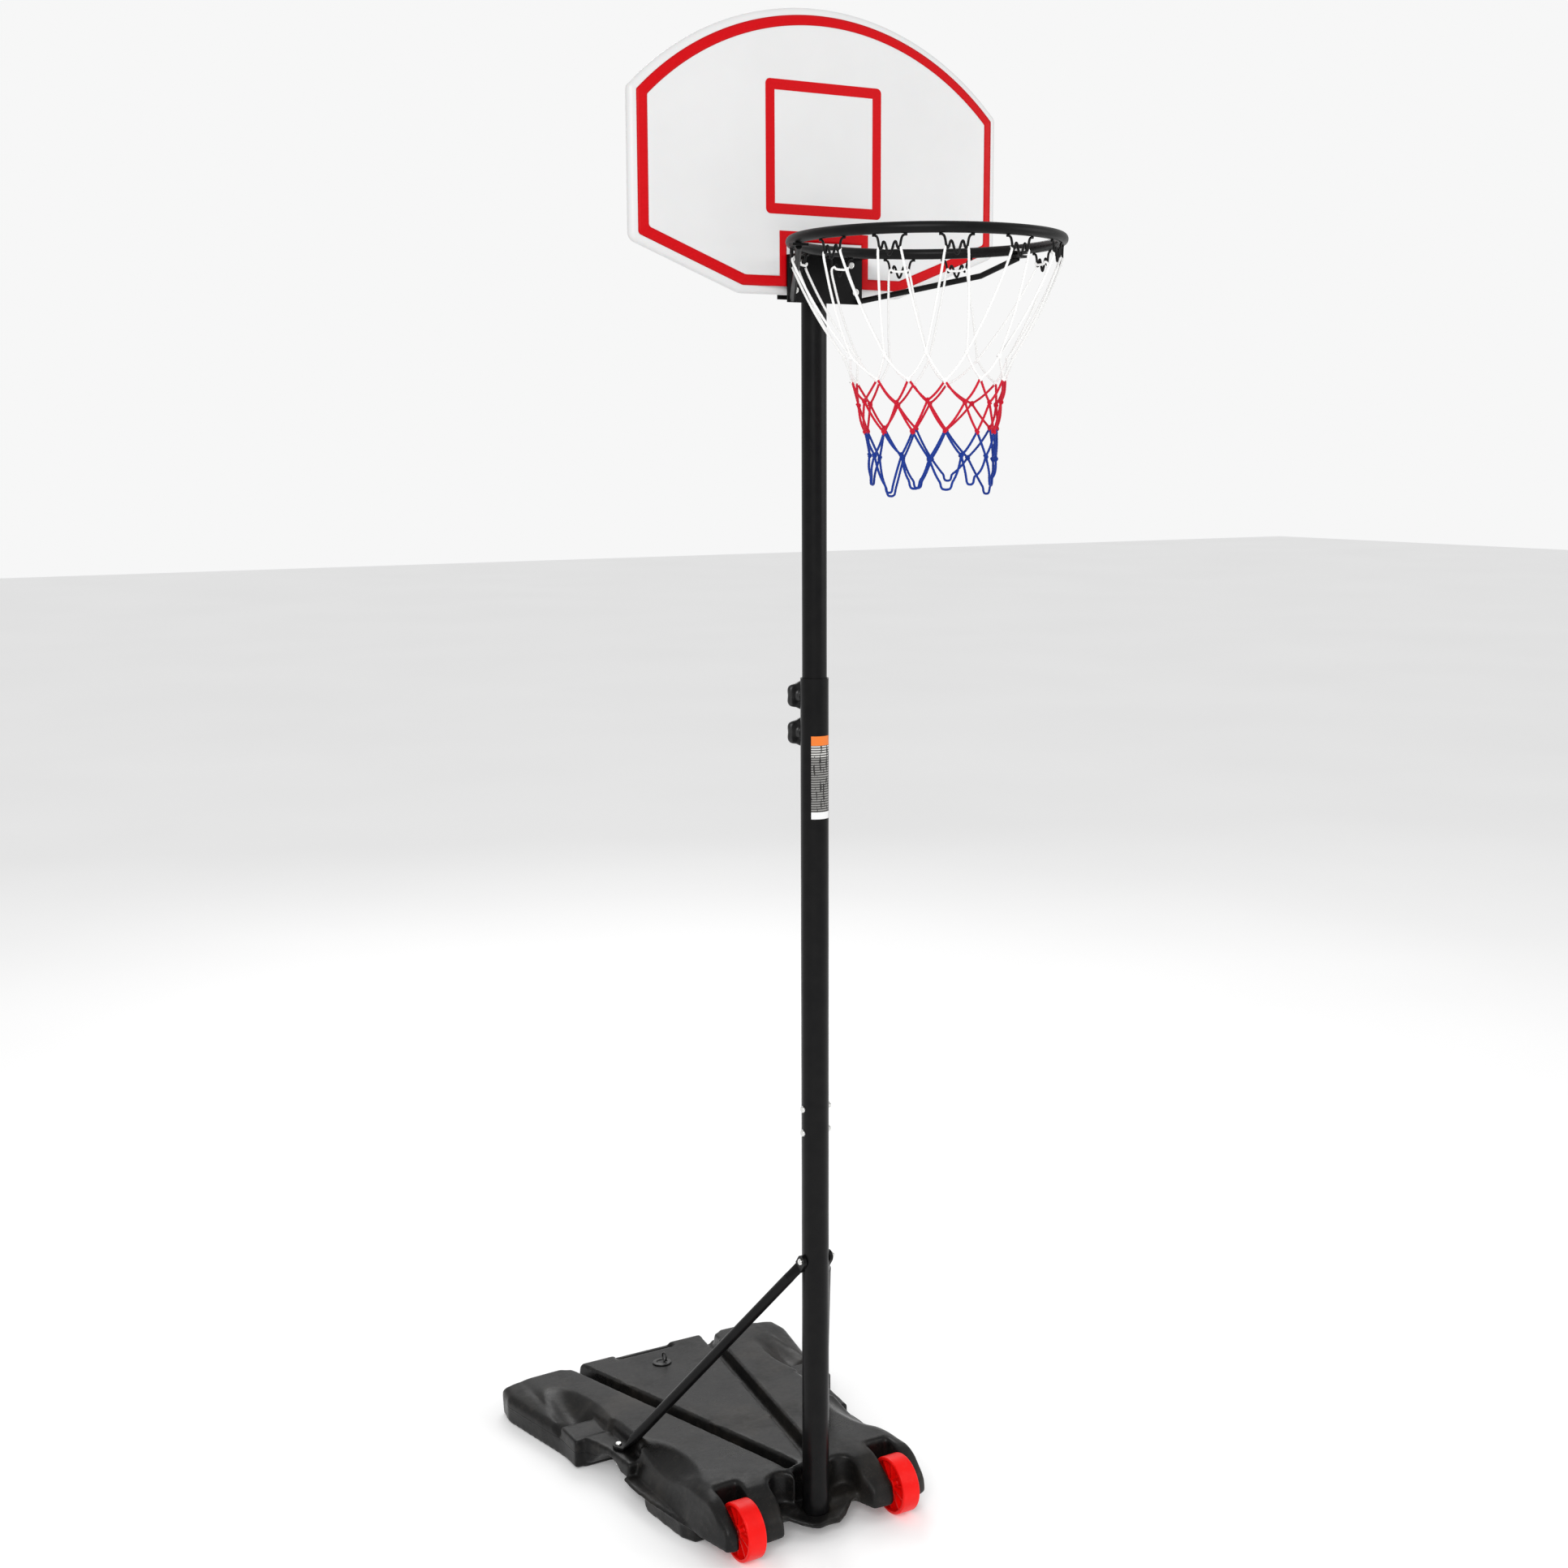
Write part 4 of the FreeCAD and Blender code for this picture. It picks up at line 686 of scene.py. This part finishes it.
def board_half(inset, rounding):
    """The right half of the board's outline, from the bottom to the crown."""
    peak = HIGH_SIDE + HALF * math.tan(TOP_SLOPE)
    crown = (peak - CREST) / (1 / math.cos(TOP_SLOPE) - 1)
    low_x = CHAMFER_X - inset * math.tan(LOW_SLOPE / 2)
    low_z = LOW_SIDE + inset * (1 / math.cos(LOW_SLOPE) - math.tan(LOW_SLOPE))
    high_z = HIGH_SIDE - inset * (1 / math.cos(TOP_SLOPE) - math.tan(TOP_SLOPE))
    return [
        (low_x, BOTTOM + inset, rounding * 2),
        (HALF - inset, low_z, rounding),
        (HALF - inset, high_z, rounding * 0.7),
        (0, peak - inset / math.cos(TOP_SLOPE), crown - inset),
    ]


def whole(half):
    """A whole outline from its right half; a corner on the middle line isn't repeated."""
    return half + [(-x, z, r) for x, z, r in reversed(half) if x != 0]


def board_ring(inset, rounding):
    """The board's outline at an inset, as points that match from ring to ring."""
    return rounded(whole(board_half(inset, rounding)), [6, 6, 6, 72, 6, 6, 6])


def ease(value, low, high):
    """A smooth step from 0 to 1 between two values."""
    t = min(max((value - low) / (high - low), 0), 1)
    return t * t * (3 - 2 * t)


CORNER = 16.0  # the outline's corner radius
MARGIN, LEAN = 37.0, 6.5  # the face leans back over its margin
EDGE_BACK = [(0.0, 0.42), (0.9, 0.26), (2.8, 0.12), (5.6, 0.03), (8.8, 0.0)]  # inset, share of the depth
EDGE_FRONT = [(0.0, 0.45), (0.8, 0.30), (2.4, 0.15), (4.8, 0.05), (7.4, 0.0)]
FACE_INSETS = [12, 16, 20, 24, 28, 33, MARGIN]
PANEL_DEPTH, CHANNEL_BACK = 4, 17


def face_level(x, z, inset):
    """Where the front face lies: flat, and leaning back over its margin except at the rim plate."""
    near_plate = 1 - ease(abs(x), 84, 120) if z < 2250 else 0
    return FACE + LEAN * (1 - near_plate) * (1 - ease(inset, 4, MARGIN))


def build_board():
    """The hollow board: a rolled edge, a leaning margin, a flat face and a back with moulded panels."""
    rings, levels = [], []
    for inset, share in reversed(EDGE_BACK):
        rings.append(board_ring(inset, CORNER - inset * 0.8))
        levels.append([BACK - (BACK - FACE) * share * 0.9] * len(rings[-1]))
    for inset, share in EDGE_FRONT + [(inset, 0.0) for inset in FACE_INSETS]:
        rings.append(board_ring(inset, CORNER - inset * 0.4))
        faces_at = [face_level(x, z, inset) for x, z in rings[-1]]
        levels.append([face + (BACK - face) * share * 0.8 for face in faces_at])
    size = len(rings[0])
    middle, inmost = (0.0, (BOTTOM + CREST) / 2), rings[-1]
    for share in (0.86, 0.6, 0.3):
        rings.append([tuple(m + (c - m) * share for c, m in zip(point, middle)) for point in inmost])
        levels.append([FACE] * size)
    verts = [(x, y, z) for ring, level in zip(rings, levels) for (x, z), y in zip(ring, level)]
    faces = []
    for r in range(len(rings) - 1):
        a, b = r * size, (r + 1) * size
        faces += [(a + k, b + k, b + (k + 1) % size, a + (k + 1) % size) for k in range(size)]
    tip, tail, last = len(verts), len(verts) + 1, (len(rings) - 1) * size
    verts += [(middle[0], FACE, middle[1]), (middle[0], BACK, middle[1])]
    faces += [(last + k, tip, last + (k + 1) % size) for k in range(size)]
    faces += [((k + 1) % size, tail, k) for k in range(size)]
    verts = to_frame(verts)
    obj = add_mesh("board_body", verts, faces, BOARD, "head", ["backboard"])
    face_outwards(obj.data)
    return obj


def prism(name, outline, low, high):
    """A tool solid between two levels of y, from an outline in x and z."""
    count = len(outline)
    verts = [(x, low, z) for x, z in outline] + [(x, high, z) for x, z in outline]
    faces = [tuple(range(count)), tuple(reversed(range(count, 2 * count)))]
    faces += [(k, k + count, (k + 1) % count + count, (k + 1) % count) for k in range(count)]
    mesh = bpy.data.meshes.new(name)
    mesh.from_pydata([tuple(v) for v in to_frame(verts)], [], faces)
    face_outwards(mesh)
    obj = bpy.data.objects.new(name, mesh)
    bpy.context.scene.collection.objects.link(obj)
    return obj


def carve(obj, tool):
    """Takes a tool solid away from a piece and deletes it."""
    apply_modifier(obj, "BOOLEAN", operation="DIFFERENCE", solver="EXACT", object=tool)
    bpy.data.objects.remove(tool)


def carve_back(board):
    """The channel for the pole and four shallow panels in the board's back."""
    channel = rounded([(23, 2100, 1), (23, 2338, 8), (-23, 2338, 8), (-23, 2100, 1)], [2, 6, 6, 2])
    carve(board, prism("pole_channel", channel, BACK - CHANNEL_BACK, BACK + 5))
    low_panel = [(92, 2226, 10), (292, 2240, 12), (296, 2372, 12), (92, 2372, 10)]
    top_panel = [(92, 2392, 10), (290, 2392, 12), (222, 2472, 14), (92, 2520, 10)]
    for side in (-1, 1):
        for corners in (low_panel, top_panel):
            placed_corners = [(side * x, z, radius) for x, z, radius in corners][::side]
            tool = prism("panel", rounded(placed_corners, [6] * 4), BACK - PANEL_DEPTH, BACK + 5)
            carve(board, tool)


board = build_board()
carve_back(board)
board.data.set_sharp_from_angle(angle=math.radians(40))


STRIPE_IN, STRIPE_WIDE, STRIPE_PARTS = 12.0, 16.0, 4
INK = 0.35  # how far the print's middle stands off the face
FILM = 0.0003  # and its thickness, in metres


def border_outline(inset, step_x, step_z, radius):
    """One edge of the border, with its step up round the rim plate."""
    (low_x, foot_z, low_radius), *upper = board_half(inset, radius)
    step = [(step_x, step_z, 0.5), (step_x, foot_z, 0.5), (low_x, foot_z, low_radius)]
    return rounded(whole(step + upper), [2, 2, 8, 6, 6, 72, 6, 6, 8, 2, 2])


def divide(points, counts):
    """A closed outline with each of its runs cut into a number of equal parts."""
    result = []
    for (a, b), n in zip(zip(points, points[1:] + points[:1]), counts):
        result += [(a[0] + (b[0] - a[0]) * k / n, a[1] + (b[1] - a[1]) * k / n) for k in range(n)]
    return result


def build_border():
    """The printed border, a thin film that follows the face."""
    radius = CORNER - 12 * 0.8
    outer = border_outline(STRIPE_IN, 69.3, 2209.0, radius)
    inner = border_outline(STRIPE_IN + STRIPE_WIDE, 82.0, 2225.0, radius)
    counts = [max(1, int(math.dist(a, b) / 12.0)) for a, b in zip(outer, outer[1:] + outer[:1])]
    outer, inner = divide(outer, counts), divide(inner, counts)
    count = len(outer)
    verts, faces = [], []
    for k in range(STRIPE_PARTS + 1):
        share = k / STRIPE_PARTS
        for a, b in zip(outer, inner):
            x, z = a[0] + (b[0] - a[0]) * share, a[1] + (b[1] - a[1]) * share
            in_step = abs(x) < 84 and z < 2235
            depth = MARGIN if in_step else STRIPE_IN + STRIPE_WIDE * share
            verts.append((x, face_level(x, z, depth) - INK, z))
    for k in range(STRIPE_PARTS):
        a, b = k * count, (k + 1) * count
        faces += [(a + i, a + (i + 1) % count, b + (i + 1) % count, b + i) for i in range(count)]
    verts = to_frame(verts)
    border = add_mesh("border_print", verts, faces, PRINT, "head", ["border_stripe"])
    film = border.modifiers.new("film", "SOLIDIFY")
    film.thickness, film.offset = FILM, 0


build_border()

# ---------------------------------------------------------------- ring and clips


def ring_point(angle, radius, drop):
    """A point at an angle from the ring's board side and a drop below its centre plane, in metres."""
    turn = math.radians(angle)
    return RING + Vector((radius * math.sin(turn), radius * math.cos(turn), -drop))


circle = [ring_point(360 * i / 160, RING_R, 0) for i in range(160)]
ring_verts, ring_faces = sweep(circle, round_profile(TUBE_R, 24), closed=True)
add_mesh("ring_bar", ring_verts, ring_faces, RIM, "head", ["rim_ring"])

CLIP_ANGLES = [22, 48, 96, 118, 144, 173, 202, 229, 256, 297, 323, 352]
WIRE = 0.0018  # the clip wire's radius
SEAT_DROP = TUBE_R + WIRE * 0.8
# The left half of a clip, as (distance along the ring, drop below its seat) in millimetres.
CLIP_SHAPE = [
    (-25, 0.0), (-21, 0.2), (-18, 2.5), (-16.2, 8), (-15, 15), (-13, 18.6), (-10.8, 15),
    (-9.4, 9.8), (-7.6, 9.2), (-5.6, 13), (-3, 22), (0, 26.5),
]


def clip_point(angle, across, drop):
    """A point of the clip at an angle, from the clip's own across and drop in millimetres."""
    return ring_point(angle + math.degrees(across * MM / RING_R), RING_R, SEAT_DROP + drop * MM)


def build_clips():
    """The wire clips, each one bent wire that is symmetric about its middle."""
    wires = []
    shape = CLIP_SHAPE + [(-x, drop) for x, drop in reversed(CLIP_SHAPE[:-1])]
    for angle in CLIP_ANGLES:
        path = spline([clip_point(angle, x, drop) for x, drop in shape], 4)
        wires.append(sweep(path, round_profile(WIRE, 8)))
    verts, faces = merge(wires)
    add_mesh("clip_wires", verts, faces, RIM, "head", ["net_clips"])


build_clips()

# ---------------------------------------------------------------- net

random.seed(7)
CORD_R = 0.00175
SWAY = Vector((0.014, 0.002, 0))  # the net hangs a little to one side
# Each row of knots: its drop below the ring, its radius and the colour of the cord that ends there.
ROWS = [
    (0.166, 0.126, "white"),
    (0.201, 0.114, "white"),
    (0.233, 0.106, "red"),
    (0.272, 0.099, "red"),
    (0.311, 0.094, "blue"),
    (0.361, 0.090, "blue"),
]
PITCH = 0.0085  # of the cord's twist
SAMPLE = 0.0018  # spacing of the sections along a cord


def twisted(path):
    """A three-strand cord along a path: a lobed section that turns as it goes."""
    lengths = [0.0]
    for a, b in zip(path, path[1:]):
        lengths.append(lengths[-1] + (b - a).length)

    def section(i, count):
        """The lobed section at one point of the path."""
        turn = 2 * math.pi * lengths[min(i, len(lengths) - 1)] / PITCH
        points = []
        for k in range(12):
            angle = 2 * math.pi * k / 12
            radius = CORD_R * (0.86 + 0.22 * abs(math.cos(1.5 * (angle - turn))))
            points.append((radius * math.cos(angle), radius * math.sin(angle)))
        return points

    return sweep(path, section)


def cord_along(points, steps):
    """A twisted cord on a smooth curve through points."""
    return twisted(resampled(spline(points, steps), SAMPLE))


def resampled(path, step):
    """A path with points an even step apart."""
    path = [Vector(p) for p in path]
    result, carry = [path[0]], 0.0
    for a, b in zip(path, path[1:]):
        length = (b - a).length
        place = step - carry
        while place < length:
            result.append(a.lerp(b, place / length))
            place += step
        carry = (carry + length) % step
    result.append(path[-1])
    return result


KNOT_CORE = [(0.0001, -0.0026), (0.0022, -0.0018), (0.0029, 0), (0.0022, 0.0018), (0.0001, 0.0026)]


def knot_at(point, bag):
    """A small tied knot: a closed loop of cord wound three times about itself."""
    spin = Matrix.Rotation(random.uniform(0, 3.1), 3, "Z")
    tilt = spin @ Matrix.Rotation(random.uniform(-0.5, 0.5), 3, "X")
    loop = []
    for k in range(48):
        t = 2 * math.pi * k / 48
        r = 1.9 + 0.9 * math.cos(3 * t)
        shape = Vector((r * math.cos(2 * t), 1.35 * math.sin(3 * t), r * math.sin(2 * t) * 1.15))
        loop.append(point + tilt @ shape * MM)
    bag.append(sweep(loop, round_profile(CORD_R * 0.92, 8), closed=True))
    bag.append(placed(lathe(KNOT_CORE, 12), Matrix.Translation(point)))


def slack_run(first, last, slack, bulge):
    """A cord between two points that sags a little and bows outwards."""
    middle = (first + last) / 2
    out = Vector((middle.x - RING.x, middle.y - RING.y, 0)).normalized()
    points = []
    for k in range(7):
        sag = math.sin(math.pi * k / 6)
        points.append(first.lerp(last, k / 6) + out * (bulge * sag) - Vector((0, 0, slack * sag)))
    return points


def net_knots():
    """Where the knots are, row by row, with the irregularity of a hand-tied net."""
    following = CLIP_ANGLES[1:] + [CLIP_ANGLES[0] + 360]
    between = [(a + b) / 2 for a, b in zip(CLIP_ANGLES, following)]
    rows = []
    for index, (drop, radius, _) in enumerate(ROWS):
        share = (index + 1) / len(ROWS)
        row = []
        for angle in CLIP_ANGLES if index % 2 else between:
            aside, away = random.uniform(-2.6, 2.6), random.uniform(-2.6, 2.6)
            loose = Vector((aside, away, random.uniform(-3.4, 3.0))) * MM * (0.5 + share)
            if index == len(ROWS) - 1:
                loose.z += random.uniform(-0.008, 0.008)
            row.append(ring_point(angle, radius, drop) + SWAY * share ** 0.7 + loose)
        rows.append(row)
    return rows


def hung_cord(angle, left, right):
    """The cord that hooks over one clip, from the knot on its left to the one on its right."""
    inward = RING - clip_point(angle, 0, 0)
    inward.z = 0
    inward = inward.normalized() * 0.0036
    path = slack_run(left, clip_point(angle, -16.6, 22.0), 0.003, 0.004)[:-1]
    path.append(clip_point(angle, -16.6, 20.0))
    for across, drop in ((-13.4, 14.0), (-9.5, 17.0), (9.5, 17.0), (13.4, 14.0)):
        path.append(clip_point(angle, across, drop) + inward)
    path.append(clip_point(angle, 16.6, 20.0))
    path += slack_run(clip_point(angle, 16.6, 22.0), right, 0.003, 0.004)[1:]
    return cord_along(path, 5)


def end_loop(first, second, point, slack):
    """A rounded loop at the net's lower end, between two knots of the row above."""
    across = second - first
    across.z = 0
    across = across.normalized() * random.uniform(0.006, 0.0095)
    shoulder = Vector((0, 0, random.uniform(0.010, 0.014)))
    one = slack_run(first, point - across + shoulder, slack, 0.002)
    two = slack_run(second, point + across + shoulder, slack, 0.002)
    low = [point - across * 0.62 + shoulder * 0.2, point + across * 0.62 + shoulder * 0.2]
    return cord_along(one + low + list(reversed(two)), 4)


def build_net():
    """The net: twelve hooked cords, five rows of meshes and their knots, in three colours."""
    rows = net_knots()
    bags = {"white": [], "red": [], "blue": []}
    for i, angle in enumerate(CLIP_ANGLES):
        bags["white"].append(hung_cord(angle, rows[0][i - 1], rows[0][i]))
    for index in range(1, len(rows)):
        bag = bags[ROWS[index][2]]
        turn = 1 if index % 2 else -1
        for i, point in enumerate(rows[index]):
            first, second = rows[index - 1][i], rows[index - 1][(i - turn) % 12]
            slack = random.uniform(0.001, 0.0045)
            if index == len(rows) - 1:
                bag.append(end_loop(first, second, point, slack))
                continue
            for start in (first, second):
                bag.append(cord_along(slack_run(start, point, slack, random.uniform(-0.001, 0.002)), 3))
    for row, (_, _, colour) in zip(rows[:-1], ROWS):
        for point in row:
            knot_at(point, bags[colour])
    for colour, bag in bags.items():
        verts, faces = merge(bag)
        name = "net_cord_" + colour
        add_mesh(name, verts, faces, CORDS[colour], "head", ["net_" + colour])


build_net()

# ---------------------------------------------------------------- height knobs


KNOB_R = 23.7
# The knob's section as (radius, distance from its underside) in millimetres.
KNOB_PROFILE = [
    (0.2, 0.0), (8.0, 0.0), (9.2, 1.6), (10.4, 4.0), (13.6, 5.6), (19.6, 6.2), (22.3, 7.6),
    (23.6, 10.2), (KNOB_R, 12.8), (22.8, 15.6), (20.4, 18.0), (16.4, 19.4), (10.4, 20.0),
    (5.2, 19.2), (0.2, 18.8),
]


def build_knob(name):
    """A clamping knob: five soft lobes round a domed cap with a small dimple."""
    low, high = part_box("height_knob_" + name)
    centre = Vector(((low[0] + high[0]) / 2, low[1] - 0.005, (low[2] + high[2]) / 2))
    verts, faces = lathe(KNOB_PROFILE, 80)
    shaped = []
    for v in verts:
        reach = math.hypot(v.x, v.y)
        swell = 1 + 0.085 * (reach / KNOB_R) ** 2 * math.cos(5 * math.atan2(v.y, v.x))
        shaped.append(centre + Vector((v.x * swell, v.z, -v.y * swell)) * MM)
    add_mesh(
        "knob_grip_" + name, shaped, faces, BLACK, "knob_" + name,
        ["height_knob_" + name],
    )


for name in ("lower", "upper"):
    build_knob(name)

# ---------------------------------------------------------------- CAD nodes that stay


finish_node("pole_seam_bolts", ZINC)
for name in ("pole_bottom", "pole_middle", "pole_upper", "strut_left", "strut_right"):
    mesh = NODES[name].data
    mesh.polygons.foreach_set("use_smooth", [True] * len(mesh.polygons))

# ---------------------------------------------------------------- floor, light and camera

FLOOR_HALF = 30
floor = bpy.data.meshes.new("studio_floor")
corners = [(-1, -1), (1, -1), (1, 1), (-1, 1)]
floor.from_pydata([(x * FLOOR_HALF, y * FLOOR_HALF, 0) for x, y in corners], [], [(0, 1, 2, 3)])
floor_obj = bpy.data.objects.new("studio_floor", floor)
bpy.context.scene.collection.objects.link(floor_obj)
pale = Nodes("studio_floor", Roughness=0.85, Emission_Color=(1, 1, 1, 1), Emission_Strength=0.14)
cloud = pale.noise(0.6, 2.0)
pale.set("Base Color", pale.ramp(cloud, [(0.3, (0.91, 0.91, 0.91)), (0.7, (0.94, 0.94, 0.94))]))
floor.materials.append(pale.material)

world = bpy.data.worlds.new("studio")
world.use_nodes = True
sky = world.node_tree
ambient = sky.nodes["Background"]
ambient.inputs["Color"].default_value = (1.0, 1.0, 1.0, 1.0)
ambient.inputs["Strength"].default_value = 0.66
backdrop = sky.nodes.new("ShaderNodeBackground")
backdrop.inputs["Color"].default_value = (0.93, 0.93, 0.93, 1.0)
ray = sky.nodes.new("ShaderNodeLightPath")
choose = sky.nodes.new("ShaderNodeMixShader")
sky.links.new(ray.outputs["Is Camera Ray"], choose.inputs["Fac"])
sky.links.new(ambient.outputs["Background"], choose.inputs[1])
sky.links.new(backdrop.outputs["Background"], choose.inputs[2])
sky.links.new(choose.outputs["Shader"], sky.nodes["World Output"].inputs["Surface"])
bpy.context.scene.world = world


def area_light(name, at, aim, size, power):
    """A soft square light at a point, aimed at another."""
    data = bpy.data.lights.new(name, "AREA")
    data.shape = "SQUARE"
    data.size = size
    data.energy = power
    obj = bpy.data.objects.new(name, data)
    obj.location = at
    obj.rotation_euler = (Vector(aim) - Vector(at)).to_track_quat("-Z", "Y").to_euler()
    bpy.context.scene.collection.objects.link(obj)


area_light("key", (-3.2, -4.2, 4.2), (0, 0, 1.3), 2.4, 150)
area_light("fill", (3.6, -2.6, 2.6), (0, 0, 1.2), 2.6, 40)
area_light("back", (1.4, 3.8, 3.8), (0, 0, 1.2), 2.4, 60)

camera_data = bpy.data.cameras.new("camera")
camera_data.lens = 46.57
camera_data.sensor_width = 36.0
camera = bpy.data.objects.new("camera", camera_data)
camera.location = (-1.7249, -2.8564 + POLE_Y * MM, 1.8858)
turn = Matrix.Rotation(math.radians(-30.25), 3, "Z")
tip = Matrix.Rotation(math.radians(90 - 9.34), 3, "X")
roll = Matrix.Rotation(math.radians(-0.23), 3, "Z")
camera.rotation_euler = (turn @ tip @ roll).to_euler()
bpy.context.scene.collection.objects.link(camera)
bpy.context.scene.camera = camera
bpy.context.scene.view_settings.view_transform = "Standard"
